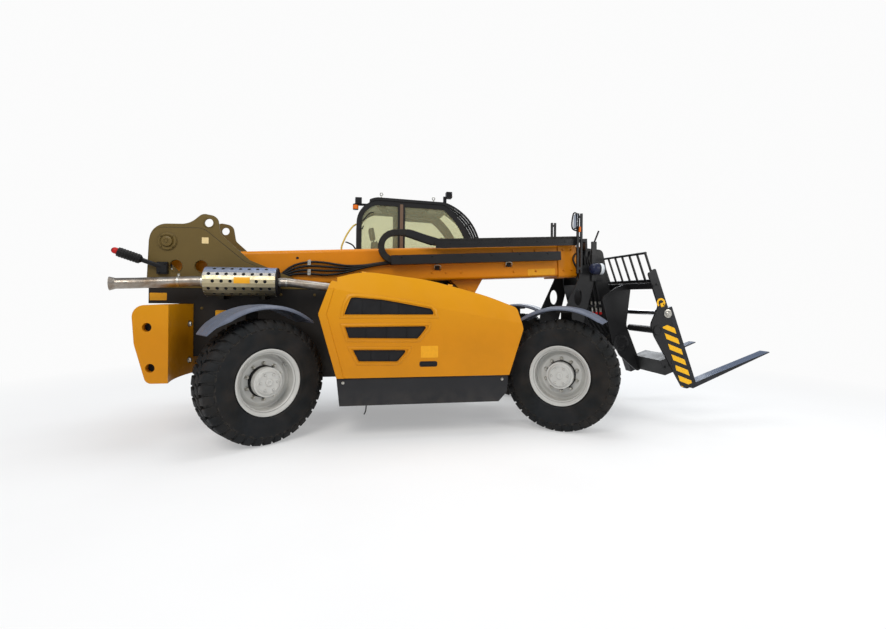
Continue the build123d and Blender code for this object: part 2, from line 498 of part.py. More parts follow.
def muffler():
    """Perforated heat shield of narrow facets round the silencer, on two feet beside the tower."""
    length, inner = MUFFLER_X[1] - MUFFLER_X[0], MUFFLER_R - 5
    turned = Rot(0, 90, 0) * Rot(0, 0, 180 / SHIELD_FACETS)
    tube = turned * (extrude(RegularPolygon(MUFFLER_R, SHIELD_FACETS, major_radius=False), length / 2, both=True)
                     - extrude(RegularPolygon(inner, SHIELD_FACETS, major_radius=False), length / 2 - 5, both=True))
    tube -= Pos(-length / 2, 0, 0) * Rot(0, 90, 0) * Cylinder(PIPE_R + RUN_GAP, 40)
    tube -= Pos(length / 2, 0, 0) * Rot(0, 90, 0) * Cylinder(FRONT_PIPE_R + RUN_GAP, 40)
    step = (length - 2 * SHIELD_EDGE) / (SHIELD_COLUMNS - 1)
    hole = extrude(RegularPolygon(SHIELD_HOLE_R, 8), 12)
    holes = []
    for row in range(SHIELD_FACETS // 2):
        start = SHIELD_EDGE - length / 2 + (row % 2) * step / 2
        holes += [Rot(720 * row / SHIELD_FACETS, 0, 0) * Pos(start + column * step, 0, inner - 4) * hole
                  for column in range(SHIELD_COLUMNS - row % 2)]
    shield = Pos(sum(MUFFLER_X) / 2, MUFFLER_Y, MUFFLER_Z) * (tube - holes)
    can = Pos(sum(MUFFLER_X) / 2, MUFFLER_Y, MUFFLER_Z) * Rot(0, 90, 0) * Cylinder(inner + 2, length)
    low = MUFFLER_Z - MUFFLER_R
    for x in (MUFFLER_X[0] + 135, MUFFLER_X[1] - 191):
        shield += block(x, x + 60, MUFFLER_Y - 30, -CHASSIS_HALF, low - 40, low - 5)
        shield += block(x, x + 60, MUFFLER_Y - 30, MUFFLER_Y + 30, low - 6, low + 12) - can
    return shield


def marker_lamps():
    """Red side markers in fat rubber bodies on arms behind the towers."""
    lamps = []
    y0 = CHASSIS_HALF + TOWER_DOUBLER
    for side in (-1, 1):
        foot = block(-1180, -1065, *sorted((side * y0, side * (y0 + 45))), 1850, 1990)
        arm = bar((-1120, side * (y0 + 25), 1930), (-1400, side * 520, 2035), 26)
        body = bar((-1330, side * 508, 2010), (MARKER_END_X + 30, side * 560, 2088), 52)
        lens = Pos(MARKER_END_X, side * 565, 2100) * Sphere(MARKER_LENS_R)
        lamps.append(foot + arm + body + lens)
    return group(lamps)


def exhaust_pipe():
    """Silencer in its shield, with the pipe from the engine and the flared tail, in one."""
    rear, front, y, z = *MUFFLER_X, MUFFLER_Y, MUFFLER_Z
    can = Pos((rear + front) / 2, y, z) * Rot(0, 90, 0) * Cylinder(MUFFLER_R - 25, front - rear - 40)
    tail = bent_pipe([(rear + 60, y, z), (rear - 120, y, z), (-1300, y, z - 30), (-1500, y - 38, z - 38)], PIPE_R)
    end = Vector(-1500, y - 38, z - 38)
    flare = Plane(origin=end, z_dir=end - Vector(-1300, y, z - 30)).location
    flare = flare * Cone(PIPE_R, PIPE_R + 16, 60, align=(Align.CENTER, Align.CENTER, Align.MIN))
    lead = bent_pipe([(front - 60, y, z), (front + 120, y, z), (BAY_REAR_X + 308, y, z - 75)], FRONT_PIPE_R)
    return joined([can, tail, flare, lead])


def bent_pipe(route, radius):
    """A round pipe through the places of its route, bent in arcs."""
    path = FilletPolyline(*route, radius=2.5 * radius)
    start = Vector(*route[0])
    return sweep(Plane(origin=start, z_dir=Vector(*route[1]) - start) * Circle(radius), path=path)


# ---------------------------------------------------------------- cab


def cab_side():
    """Side outline of the cab: upright rear, round rear corner, long roof and one curved windscreen."""
    edges = [
        Line((CAB_REAR_X, 0, CAB_BASE), (CAB_REAR_X, 0, CAB_TOP - 420)),
        ThreePointArc((CAB_REAR_X, 0, CAB_TOP - 420), (CAB_REAR_X + 85, 0, CAB_TOP - 165),
                      (CAB_REAR_X + 300, 0, CAB_TOP - 60)),
        Line((CAB_REAR_X + 300, 0, CAB_TOP - 60), (SCREEN_TOP_X, 0, CAB_TOP - 90)),
        ThreePointArc((SCREEN_TOP_X, 0, CAB_TOP - 90), (CAB_FRONT_X - 160, 0, CAB_TOP - 340),
                      (CAB_FRONT_X, 0, CAB_TOP - 700)),
        Line((CAB_FRONT_X, 0, CAB_TOP - 700), (CAB_FRONT_X, 0, CAB_BASE)),
        Line((CAB_FRONT_X, 0, CAB_BASE), (CAB_REAR_X, 0, CAB_BASE))]
    return make_face(edges)


def cab_slab(inset, y0, y1):
    """The cab's side outline drawn in by an inset, between two widths."""
    face = offset(cab_side(), -inset, kind=Kind.INTERSECTION) if inset else cab_side()
    return Pos(0, y0, 0) * extrude(face, amount=y1 - y0, dir=(0, 1, 0))


def cab_bay(inset, x0, x1, z0, y0, y1):
    """The part of the inset outline between two posts and above a rail."""
    return cab_slab(inset, y0, y1) & block(x0, x1, y0, y1, z0, CAB_TOP)


def cab_shell():
    """The whole hollow shell, with the windows and the doorway cut through it."""
    shell = cab_slab(0, CAB_RIGHT, CAB_LEFT) - cab_slab(CAB_SKIN, CAB_RIGHT + CAB_SKIN, CAB_LEFT - CAB_SKIN)
    shell -= cab_bay(CAB_POST, CAB_REAR_X, CAB_PILLAR_X, SILL_Z + CAB_SKIN, CAB_RIGHT - 1, CAB_LEFT + 1)
    shell -= cab_bay(CAB_POST, DOOR_HINGE_X, CAB_FRONT_X, SILL_Z + CAB_SKIN, CAB_RIGHT - 1, CAB_RIGHT + CAB_SKIN + 1)
    shell -= cab_bay(CAB_POST, DOOR_HINGE_X, CAB_FRONT_X, CAB_BASE + CAB_SKIN, CAB_LEFT - CAB_SKIN - 1, CAB_LEFT + 1)
    inner = (CAB_RIGHT + CAB_POST, CAB_LEFT - CAB_POST)
    shell -= block(SCREEN_TOP_X - 60, CAB_FRONT_X + 1, *inner, SILL_Z + CAB_SKIN, CAB_TOP - 150)
    shell -= block(CAB_REAR_X - 1, CAB_REAR_X + CAB_SKIN + 20, *inner, SILL_Z + CAB_SKIN, CAB_TOP - 440)
    shell -= block(CAB_REAR_X + 400, SCREEN_TOP_X - 200, *inner, SILL_Z, CAB_TOP)
    return shell


def cab_tub():
    """Floor and lower panels, up to the sill."""
    return cab_shell() & block(CAB_REAR_X - 1, CAB_FRONT_X + 1, CAB_RIGHT - 1, CAB_LEFT + 1, CAB_BASE, SILL_Z)


def cab_frame():
    """Posts and rails above the sill, with the door's hinges."""
    frame = cab_shell() & block(CAB_REAR_X - 1, CAB_FRONT_X + 1, CAB_RIGHT - 1, CAB_LEFT + 1, SILL_Z, CAB_TOP)
    for z in DOOR_HINGE_Z:
        for low in (z - HINGE_LUG - 25, z + HINGE_LUG + 1):
            frame += block(DOOR_HINGE_X - 50, DOOR_HINGE_X, CAB_LEFT, CAB_LEFT + 12, low, low + 24)
            frame += Pos(DOOR_HINGE_X, DOOR_HINGE_Y, low + 12) * Cylinder(16, 24)
            frame += block(DOOR_HINGE_X - 12, DOOR_HINGE_X, CAB_LEFT, DOOR_HINGE_Y, low, low + 24)
        frame += Pos(DOOR_HINGE_X, DOOR_HINGE_Y, z) * Cylinder(8, 2 * HINGE_LUG + 50)
    return frame


def cab_roof():
    """Roof panel, lipped out past the side frames."""
    outer = Pos(0, 0, CAB_ROOF_T) * cab_slab(0, CAB_RIGHT - CAB_LIP, CAB_LEFT + CAB_LIP)
    panel = outer - cab_slab(0, CAB_RIGHT - CAB_LIP - 1, CAB_LEFT + CAB_LIP + 1)
    return panel & block(CAB_REAR_X + 180, SCREEN_TOP_X + 80, CAB_RIGHT - 90, CAB_LEFT + 90, CAB_TOP - 300, CAB_TOP)


def cab_glass():
    """Fixed panes, each filling its opening: three side panes, the windscreen and the rear window."""
    inner = (CAB_RIGHT + CAB_POST, CAB_LEFT - CAB_POST)
    right, left = (CAB_RIGHT + 15, CAB_RIGHT + 15 + GLASS_T), (CAB_LEFT - 15 - GLASS_T, CAB_LEFT - 15)
    panes = [cab_bay(CAB_POST, CAB_REAR_X, CAB_PILLAR_X, SILL_Z + CAB_SKIN, *side) for side in (right, left)]
    panes.append(cab_bay(CAB_POST, DOOR_HINGE_X, CAB_FRONT_X, SILL_Z + CAB_SKIN, *right))
    skin = cab_slab(15, *inner) - cab_slab(15 + GLASS_T, *inner)
    panes.append(skin & block(SCREEN_TOP_X - 60, CAB_FRONT_X, *inner, SILL_Z + CAB_SKIN, CAB_TOP - 150))
    panes.append(skin & block(CAB_REAR_X, CAB_REAR_X + CAB_SKIN, *inner, SILL_Z + CAB_SKIN, CAB_TOP - 440))
    return group(panes)


def door():
    """Framed door on the left, hinged at its rear edge, with a pane above and below its rail."""
    y0, y1 = CAB_LEFT - CAB_SKIN, CAB_LEFT - 2
    leaf = cab_bay(CAB_POST + DOOR_GAP, DOOR_HINGE_X + DOOR_GAP, CAB_FRONT_X, CAB_BASE + CAB_SKIN + DOOR_GAP, y0, y1)
    bays = ((SILL_Z + CAB_SKIN, CAB_TOP), (CAB_BASE + CAB_SKIN + 110, SILL_Z - 20))  # (bottom, top) of each pane
    holes = [cab_bay(CAB_POST + DOOR_GAP + 55, DOOR_HINGE_X + 65, CAB_FRONT_X, low, y0 - 1, y1 + 1)
             & block(CAB_REAR_X, CAB_FRONT_X, y0 - 1, y1 + 1, low, high) for low, high in bays]
    frame = leaf - holes
    for z in DOOR_HINGE_Z:
        frame += block(DOOR_HINGE_X, DOOR_HINGE_X + 70, y1, CAB_LEFT + 10, z - HINGE_LUG, z + HINGE_LUG)
        frame += Pos(DOOR_HINGE_X, DOOR_HINGE_Y, z) * Cylinder(16, 2 * HINGE_LUG)
        frame -= Pos(DOOR_HINGE_X, DOOR_HINGE_Y, z) * Cylinder(8 + RUN_GAP, 2 * HINGE_LUG + 2)
    sheet = block(CAB_REAR_X, CAB_FRONT_X, CAB_LEFT - 20 - GLASS_T, CAB_LEFT - 20, CAB_BASE, CAB_TOP)
    return frame, group([hole & sheet for hole in holes])


def windscreen_guard():
    """Curved flat bars over the windscreen with rods across them."""
    top, low = (SCREEN_TOP_X + 20, CAB_TOP - 20), (CAB_FRONT_X + 170, CAB_TOP - 790)
    bulge = (CAB_FRONT_X + 5, CAB_TOP - 290)
    depth = 32
    edges = [ThreePointArc(*[(x, 0, z) for x, z in (top, bulge, low)]),
             Line((low[0], 0, low[1]), (low[0] - depth, 0, low[1])),
             ThreePointArc((low[0] - depth, 0, low[1]), (bulge[0] - depth * 0.7, 0, bulge[1] - depth * 0.7),
                           (top[0], 0, top[1] - depth)),
             Line((top[0], 0, top[1] - depth), (top[0], 0, top[1]))]
    y0, y1 = CAB_RIGHT + GUARD_IN, CAB_LEFT - GUARD_IN
    bars = []
    for i in range(GUARD_BARS):
        y = y0 + (y1 - y0) * i / (GUARD_BARS - 1)
        bars.append(Pos(0, y - 5, 0) * extrude(make_face(edges), amount=10, dir=(0, 1, 0)))
    arc = edges[0]
    for share in (0.04, 0.3, 0.5, 0.72, 0.97):
        point = arc @ share
        middle = (point.X - depth * 0.35, point.Z - depth * 0.35 if share < 0.9 else point.Z)
        bars.append(block(middle[0] - 8, middle[0] + 8, y0 - 12, y1 + 12, middle[1] - 8, middle[1] + 8))
    for y in (y0, y1):
        bars.append(bar((low[0] - 15, y, low[1] + 15), (CAB_FRONT_X, y, low[1] + 15), 11))
        bars.append(bar((top[0] + 10, y, top[1] - 15), (SCREEN_TOP_X - 40, y, CAB_TOP - 75), 14))
    return joined(bars) - cab_roof() - cab_slab(0, CAB_RIGHT, CAB_LEFT)


def seat():
    floor = CAB_BASE + CAB_SKIN
    x, top = CAB_REAR_X + 330, floor + SEAT_RISE
    cushion = block(x, x + 520, SEAT_Y - 250, SEAT_Y + 250, top - 130, top)
    back = slab([(x - 10, top - 60), (x - 130, top + 620), (x - 30, top + 630), (x + 120, top - 60)],
                SEAT_Y - 240, SEAT_Y + 240)
    rest = slab([(x - 125, top + 610), (x - 150, top + 800), (x - 70, top + 810), (x - 40, top + 610)],
                SEAT_Y - 130, SEAT_Y + 130)
    pedestal = block(x + 70, x + 450, SEAT_Y - 150, SEAT_Y + 150, floor, top - 120)
    return cushion + back + rest + pedestal


def dashboard():
    floor, front = CAB_BASE + CAB_SKIN, CAB_FRONT_X - CAB_SKIN
    panel = slab([(front - 310, DASH_TOP - 260), (front - 350, DASH_TOP), (front - 120, DASH_TOP - 70),
                  (front, DASH_TOP - 260), (front, DASH_TOP - 420), (front - 120, DASH_TOP - 520),
                  (front - 240, DASH_TOP - 520)], SEAT_Y - 330, CAB_LEFT - CAB_POST - 30)
    leg = slab([(front - 240, DASH_TOP - 510), (front - 120, DASH_TOP - 510), (front, floor), (front - 160, floor)],
               SEAT_Y - 180, SEAT_Y + 180)
    return panel + leg - steering_wheel()


def steering_wheel():
    grip = Pos(185, 0, 0) * Rot(90, 0, 0) * RegularPolygon(15, 8)
    rim_ring = revolve(grip, axis=Axis.Z)
    hub = Cylinder(40, 30)
    spokes = [Rot(0, 0, a) * block(0, 180, -12, 12, -6, 6) for a in (30, 150, 270)]
    column = Pos(0, 0, -185) * Cylinder(22, 370)
    place = Pos(CAB_FRONT_X - 470, SEAT_Y, DASH_TOP - 290) * Rot(0, -35, 0)
    return place * joined([rim_ring, hub, column] + spokes)


# ---------------------------------------------------------------- boom


def boom_place():
    """The boom's own axes: origin on the pivot, x along the boom."""
    return Pos(PIVOT_X, 0, PIVOT_Z) * Rot(0, -BOOM_RISE, 0)


def to_boom(x, z):
    """A point of the machine's side view in the boom's own axes."""
    a = radians(BOOM_RISE)
    dx, dz = x - PIVOT_X, z - PIVOT_Z
    return dx * cos(a) + dz * sin(a), -dx * sin(a) + dz * cos(a)


def box_tube(x0, x1, half, top, bottom, wall, corner):
    def section(inset):
        face = RectangleRounded(2 * (half - inset), top - bottom - 2 * inset, max(corner - inset, 2))
        return Plane(origin=(x0, 0, (top + bottom) / 2), x_dir=(0, 1, 0), z_dir=(1, 0, 0)).location * face
    return extrude(section(0), x1 - x0) - extrude(section(wall), x1 - x0)


def outer_boom():
    tube = box_tube(BOOM_START, BOOM_END, BOOM_HALF, BOOM_TOP, BOOM_BOTTOM, BOOM_WALL, 40)
    collar = box_tube(COLLAR_START, BOOM_END, BOOM_HALF + COLLAR_GROW, BOOM_TOP + COLLAR_GROW,
                      BOOM_BOTTOM - COLLAR_GROW, COLLAR_GROW, 40)
    lip = box_tube(BOOM_END - 60, BOOM_END, BOOM_HALF - BOOM_WALL, BOOM_TOP - BOOM_WALL,
                   BOOM_BOTTOM + BOOM_WALL, 16 - RUN_GAP, 30)
    cheek = [  # (along the boom, square to it, corner radius)
        (-150, -70, 90), (-110, 125, 100), (110, 125, 120), (560, BOOM_TOP + 30, 200), (760, BOOM_TOP - 60, 40),
        (760, BOOM_BOTTOM + 60, 40), (500, BOOM_BOTTOM, 100), (250, BOOM_BOTTOM, 100), (-60, -200, 120)]
    foot = [plate(cheek, y, y + 30) for y in (-BOOM_HALF - 16, BOOM_HALF - BOOM_WALL)]
    boss = across(0, 0, 105, -BOOM_HALF - 100, BOOM_HALF + 100)
    shape = joined([tube, collar, lip] + foot + [boss])
    shape -= across(0, 0, PIVOT_R + PIN_GAP, -BOOM_HALF - 110, BOOM_HALF + 110)
    eye_x, eye_z = to_boom(LIFT_EYE_X, LIFT_EYE_Z)
    lug = [(eye_x - 260, BOOM_BOTTOM, 0), (eye_x - 55, eye_z - 60, 50), (eye_x + 60, eye_z - 60, 55),
           (eye_x + 190, BOOM_BOTTOM, 0)]
    for y0, boss in ((-100, (-110, -100)), (75, (100, 110))):
        shape += plate(lug, y0, y0 + 25) + across(eye_x, eye_z, 40, *boss)
    return shape


def inner_boom():
    tube = box_tube(INNER_START, INNER_END, INNER_HALF, INNER_TOP, INNER_BOTTOM, 12, 28)
    pads = box_tube(INNER_START, INNER_START + 90, BOOM_HALF - BOOM_WALL - RUN_GAP, BOOM_TOP - BOOM_WALL - RUN_GAP,
                    BOOM_BOTTOM + BOOM_WALL + RUN_GAP, 16 - RUN_GAP, 26)
    return tube + pads


def boom_head():
    """Gooseneck welded to the inner boom, down to the carriage pivot in its round casing."""
    x, z = HEAD_PIVOT_X, HEAD_PIVOT_Z
    corners = [  # (x, z, corner radius)
        (x - 530, z + 1330, 40), (x - 140, z + 1300, 70), (x - 60, z + 950, 400), (x, z + 500, 500),
        (x + 120, z + 120, 120), (x + 130, z - 120, 110), (x - 120, z - 160, 130), (x - 400, z + 420, 300),
        (x - 510, z + 800, 200)]
    side = [(*to_boom(px, pz), radius) for px, pz, radius in corners]
    shapes = [plate(side, y, y + 30) for y in (-HEAD_HALF, HEAD_HALF - 30)]
    rear = [(x - 510, z + 800), (x - 400, z + 420), (x - 370, z + 420), (x - 480, z + 800)]
    shapes.append(slab([to_boom(*p) for p in rear], -HEAD_HALF + 30, HEAD_HALF - 30))
    cap = block(INNER_END, INNER_END + 25, -HEAD_HALF + 30, HEAD_HALF - 30, INNER_BOTTOM, INNER_TOP)
    tube_x, tube_z = to_boom(x, z)
    tube = across(tube_x, tube_z, 95, -300, 300)
    pin_x, pin_z = to_boom(TILT_BASE_X, TILT_BASE_Z)
    pin = across(pin_x, pin_z, 35, -HEAD_HALF + 10, HEAD_HALF - 10)
    shape = joined(shapes + [tube, cap, pin])
    shape -= across(tube_x, tube_z, 50 + PIN_GAP, -310, 310)
    return shape - block(INNER_START, INNER_END, -INNER_HALF, INNER_HALF, INNER_BOTTOM, INNER_TOP)


def chain_run(start, end, count):
    """A straight run between two places in the side view: a band with a rib on each of its links."""
    length = hypot(end[0] - start[0], end[1] - start[1])
    pitch = length / max(count, 1)
    half = CHAIN_T / 2 - (LINK_STEP if count else 0)
    run = [block(-4, length + 4, -CHAIN_W / 2, CHAIN_W / 2, -half, half)]
    for i in range(count):
        middle = pitch * (i + 0.5)
        run.append(block(middle - 0.3 * pitch, middle + 0.3 * pitch, -CHAIN_W / 2 - 4, CHAIN_W / 2 + 4,
                         -CHAIN_T / 2, CHAIN_T / 2))
    angle = degrees(atan2(end[1] - start[1], end[0] - start[0]))
    return Pos(start[0], CHAIN_Y, start[1]) * Rot(0, -angle, 0) * joined(run)


def chain_loop():
    """Hose chain: a strand on the tray, a half turn of links, and a strand down to the rail and along it."""
    low, high = TRAY_BOTTOM + 15 + CHAIN_T / 2, CHAIN_HIGH - CHAIN_T / 2
    middle, radius = (low + high) / 2, (high - low) / 2
    turn_x = CHAIN_X + radius + CHAIN_T / 2
    seat = RAIL_BOTTOM + RAIL_H + RUN_GAP + CHAIN_T / 2
    angles = [90 + 180 * i / TURN_LINKS for i in range(TURN_LINKS + 1)]
    path = [(turn_x + radius * cos(radians(a)), middle + radius * sin(radians(a))) for a in reversed(angles)]
    path = [(turn_x + 450, low)] + path + [(turn_x + 200, high), (RAIL_START + 40, seat), (RAIL_START + 2040, seat)]
    links = [0] + [1] * TURN_LINKS + [3, 0, 0]  # ribbed links in each run of the path
    return joined(chain_run(*ends, count) for *ends, count in zip(path, path[1:], links))


def chain_parts():
    """Tray of the hose chain on the boom, its rail on the inner boom, and the chain between."""
    y0, y1 = TRAY_SIDE, -BOOM_HALF
    start, end = CHAIN_X + 160, COLLAR_START - 10
    tray = block(start, end, y0, y1, TRAY_BOTTOM, TRAY_BOTTOM + 10)
    tray += block(start, end, y0, y0 + 10, TRAY_BOTTOM + 10, TRAY_BOTTOM + 120)
    rail = block(RAIL_START, INNER_END - 30, y0, y0 + 120, RAIL_BOTTOM, RAIL_BOTTOM + RAIL_H)
    arm = block(INNER_END - 30, INNER_END, y0, -HEAD_HALF, RAIL_BOTTOM - 120, RAIL_BOTTOM + RAIL_H)
    return tray, rail + arm, chain_loop()


# ---------------------------------------------------------------- cylinders


def cylinder(base, eye, barrel_r, rod_r, closed_share, half_width):
    """A barrel and rod between two pins in the side view, with eyes on both."""
    length = hypot(eye[0] - base[0], eye[1] - base[1])
    angle = degrees(atan2(eye[1] - base[1], eye[0] - base[0]))
    place = Pos(base[0], 0, base[1]) * Rot(0, -angle, 0)
    end = length * closed_share
    barrel = Pos(end / 2, 0, 0) * Rot(0, 90, 0) * Cylinder(barrel_r, end)
    barrel += across(0, 0, barrel_r + 6, -half_width, half_width)
    bore = Pos((150 + end + 10) / 2, 0, 0) * Rot(0, 90, 0) * Cylinder(rod_r + RUN_GAP, end + 10 - 150)
    return place, length, barrel - bore, end


def lift_cylinder():
    base, eye = (LIFT_BASE_X, LIFT_BASE_Z), (LIFT_EYE_X, LIFT_EYE_Z)
    place, length, barrel, end = cylinder(base, eye, 92, 55, 0.84, 95)
    barrel -= across(0, 0, 45 + PIN_GAP, -100, 100)
    rod = Pos((300 + length - 60) / 2, 0, 0) * Rot(0, 90, 0) * Cylinder(55, length - 360)
    rod += across(length, 0, 80, -70, 70)
    return place * barrel, place * rod


def carriage_point(a, h):
    """A point of the carriage's upright axes in the machine's side view."""
    t = radians(CARRIAGE_TILT)
    return HEAD_PIVOT_X + a * cos(t) - h * sin(t), HEAD_PIVOT_Z + a * sin(t) + h * cos(t)


def tilt_cylinder():
    base, eye = (TILT_BASE_X, TILT_BASE_Z), carriage_point(TILT_EYE_A, TILT_EYE_H)
    place, length, barrel, end = cylinder(base, eye, 62, 38, 0.84, 60)
    barrel -= across(0, 0, 35 + PIN_GAP, -70, 70)
    rod = Pos((160 + length - 40) / 2, 0, 0) * Rot(0, 90, 0) * Cylinder(38, length - 200)
    rod += across(length, 0, 55, -50, 50)
    return place * barrel, place * rod


# ---------------------------------------------------------------- carriage


def carriage_place():
    return Pos(HEAD_PIVOT_X, 0, HEAD_PIVOT_Z) * Rot(0, -CARRIAGE_TILT, 0)


def carriage_frame():
    """Two pairs of upright plates with beams between, hung on the boom head."""
    outer = [  # (forward, up, corner radius)
        (330, 870, 30), (330, 430, 70), (150, 250, 90), (150, 90, 90), (300, -660, 70), (360, -700, 40),
        (430, -700, 20), (FRONT_A, -640, 20), (FRONT_A, 900, 20)]
    inner = [
        (-60, 680, 60), (190, 740, 60), (FRONT_A - 66, 740, 0), (FRONT_A - 66, 640, 0), (160, 200, 160),
        (190, -420, 55), (120, -480, 45), (-70, -160, 120), (-110, 90, 120)]
    shapes = []
    for side in (-1, 1):
        shapes.append(plate(outer, *sorted((side * CARRIAGE_HALF, side * (CARRIAGE_HALF - PLATE_T + 5)))))
        shapes.append(plate(inner, *sorted((side * 480, side * 505))))
    y1 = CARRIAGE_HALF - 10
    shapes.append(block(330, 410, -y1, y1, 660, 740))
    for side in (-1, 1):
        y = sorted((side * 490, side * y1))
        shapes.append(block(130, 330, *y, -430, -230))
        shapes.append(across(215, 150, 45, *y))
        shapes.append(across(0, 0, 95, side * 305, side * 490))
    shapes.append(across(0, 0, 50, -330, 330))
    a, h = TILT_EYE_A, TILT_EYE_H
    lug = [(a - 60, h - 60, 50), (a - 60, h + 60, 50), (340, 735, 0), (400, 735, 0), (340, h - 60, 60)]
    shapes += [plate(lug, y, y + 26) for y in (-92, 66)]
    shapes += [across(a, h, 30, *ends) for ends in ((-104, -92), (92, 104))]
    return joined(shapes) - across(FORK_SHAFT_A, FORK_SHAFT_H, 35, -CARRIAGE_HALF - 30, CARRIAGE_HALF + 30)


def backrest():
    """Load backrest of upright slats between the outer plates."""
    y1 = CARRIAGE_HALF - 25 - 12
    slats = []
    for i in range(13):
        y = -y1 + 2 * y1 * i / 12
        slats.append(block(FRONT_A - 62, FRONT_A - 42, y - 12, y + 12, 740, 1130))
    slats.append(bar((FRONT_A - 52, -y1 - 12, 1120), (FRONT_A - 52, y1 + 12, 1120), 16))
    slats.append(block(FRONT_A - 62, FRONT_A - 42, -y1 - 12, y1 + 12, 740, 770))
    return joined(slats)


def fork_shaft():
    return across(FORK_SHAFT_A, FORK_SHAFT_H, 35, -CARRIAGE_HALF - 30, CARRIAGE_HALF + 30)


def forks():
    """Two forks as they hang, each a shank hooked on the fork shaft and a tapered blade."""
    tines = []
    back = FRONT_A + 8
    profile = [(back, FORK_SHAFT_H + 60), (back, -740), (back + FORK_LENGTH, FORK_TIP_H), (back + FORK_LENGTH, -700),
               (back + 300, -680), (back + 65, -680), (back + 65, FORK_SHAFT_H + 60)]
    for y in (-1000, 400):
        tine = slab(profile, y - FORK_W / 2, y + FORK_W / 2)
        tine += block(FORK_SHAFT_A - 50, back + 20, y - FORK_W / 2, y + FORK_W / 2,
                      FORK_SHAFT_H - 50, FORK_SHAFT_H + 60)
        tines.append(tine - across(FORK_SHAFT_A, FORK_SHAFT_H, 35 + PIN_GAP, y - FORK_W, y + FORK_W))
    return group(tines)


def main():
    os.makedirs("parts", exist_ok=True)
    wheels()
    write("axle_front", axle(WHEELBASE))
    write("axle_rear", axle(0))
    write("chassis_frame", chassis_frame())
    write("towers", towers())
    write("counterweight", counterweight())
    write("front_lamp_frame", front_lamp_frame())
    write("lamps", group([headlamps(), marker_lamps(), cab_lamps()]))
    write("engine_block", engine_block())
    write("hood", hood())
    write("hood_grilles", hood_grilles())
    skirt, tank = side_boxes()
    write("side_skirt", skirt)
    write("side_tank", tank)
    write("muffler", muffler())
    write("exhaust_pipe", exhaust_pipe())
    write("cab_tub", cab_tub())
    write("cab_frame", cab_frame())
    write("cab_roof", cab_roof())
    write("cab_glass", cab_glass())
    frame, glass = door()
    write("door_frame", frame)
    write("door_glass", glass)
    write("windscreen_guard", windscreen_guard())
    write("seat", seat())
    write("dashboard", dashboard())
    write("steering_wheel", steering_wheel())
    boom = boom_place()
    write("outer_boom", boom * outer_boom())
    write("inner_boom", boom * inner_boom())
    write("boom_head", boom * boom_head())
    tray, rail, loop = chain_parts()
    write("chain_tray", boom * tray)
    write("chain_rail", boom * rail)
    write("chain_loop", boom * loop)
    for name, pair in (("lift", lift_cylinder()), ("tilt", tilt_cylinder())):
        write(f"{name}_barrel", pair[0])
        write(f"{name}_rod", pair[1])
    carriage = carriage_place()
    write("carriage_frame", carriage * carriage_frame())
    write("backrest", carriage * backrest())
    write("fork_shaft", carriage * fork_shaft())
    write("forks", carriage * forks())


if __name__ == "__main__":
    main()
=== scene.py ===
"""Looks of a heavy telescopic handler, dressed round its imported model. Metres, +X forward, +Y left, +Z up."""

import json
from math import atan2, cos, pi, radians, sin, tan, tau

import bmesh
import bpy
from mathutils import Matrix, Vector


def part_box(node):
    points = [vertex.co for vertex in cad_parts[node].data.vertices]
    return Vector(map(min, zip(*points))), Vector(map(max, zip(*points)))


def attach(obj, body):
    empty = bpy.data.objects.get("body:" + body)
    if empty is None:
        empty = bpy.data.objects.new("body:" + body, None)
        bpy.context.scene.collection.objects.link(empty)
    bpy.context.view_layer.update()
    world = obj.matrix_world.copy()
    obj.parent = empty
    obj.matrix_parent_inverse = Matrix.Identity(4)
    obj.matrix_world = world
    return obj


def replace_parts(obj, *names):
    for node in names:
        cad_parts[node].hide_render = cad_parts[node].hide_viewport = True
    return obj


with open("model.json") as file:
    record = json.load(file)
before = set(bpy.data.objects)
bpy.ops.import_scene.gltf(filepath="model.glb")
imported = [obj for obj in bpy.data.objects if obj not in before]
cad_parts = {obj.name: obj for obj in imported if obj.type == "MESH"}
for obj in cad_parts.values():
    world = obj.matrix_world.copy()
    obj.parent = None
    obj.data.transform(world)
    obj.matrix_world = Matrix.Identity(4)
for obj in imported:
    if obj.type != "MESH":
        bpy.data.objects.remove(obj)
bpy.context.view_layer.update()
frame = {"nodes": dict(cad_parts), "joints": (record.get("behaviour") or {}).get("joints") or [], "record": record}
JOINTS = {joint["name"]: joint for joint in frame["joints"]}
WHEELS = ("front_right", "front_left", "rear_right", "rear_left")
SIDES = (-1, 1)  # right, left
RIGHT, BACK = (0, -1, 0), (-1, 0, 0)
HERE = Matrix.Identity(4)


# -------- places


def shift(x, y, z):
    return Matrix.Translation((x, y, z))


def turn(angle, axis="Z"):
    return Matrix.Rotation(angle, 4, axis)


def outward(side):
    """Turns z to a side of the machine."""
    return turn(-side * pi / 2, "X")


def wall(side):
    """Axes of a plate on a side: x along it, y up, z out of it."""
    return Matrix(((1, 0, 0, 0), (0, 0, side, 0), (0, 1, 0, 0), (0, 0, 0, 1)))


def facing(place, normal, up=(0, 0, 1)):
    """Axes at a place with z along the normal and y as near up as it may be."""
    z = Vector(normal).normalized()
    x = Vector(up).cross(z).normalized()
    return Matrix.Translation(place) @ Matrix((x, z.cross(x), z)).transposed().to_4x4()


REAR_AXLE_X = ((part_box("axle_rear")[0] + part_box("axle_rear")[1]) / 2).x
CARRIAGE_LEAN = radians(20)
BOOM_ALONG = Vector(JOINTS["telescope"]["axis"])
BOOM_RISE = atan2(BOOM_ALONG.z, BOOM_ALONG.x)
# The boom's own axes: x along it from its pivot, z square to it.
BOOM = Matrix.Translation(Vector(JOINTS["boom_lift"]["pos_m"])) @ turn(-BOOM_RISE, "Y")
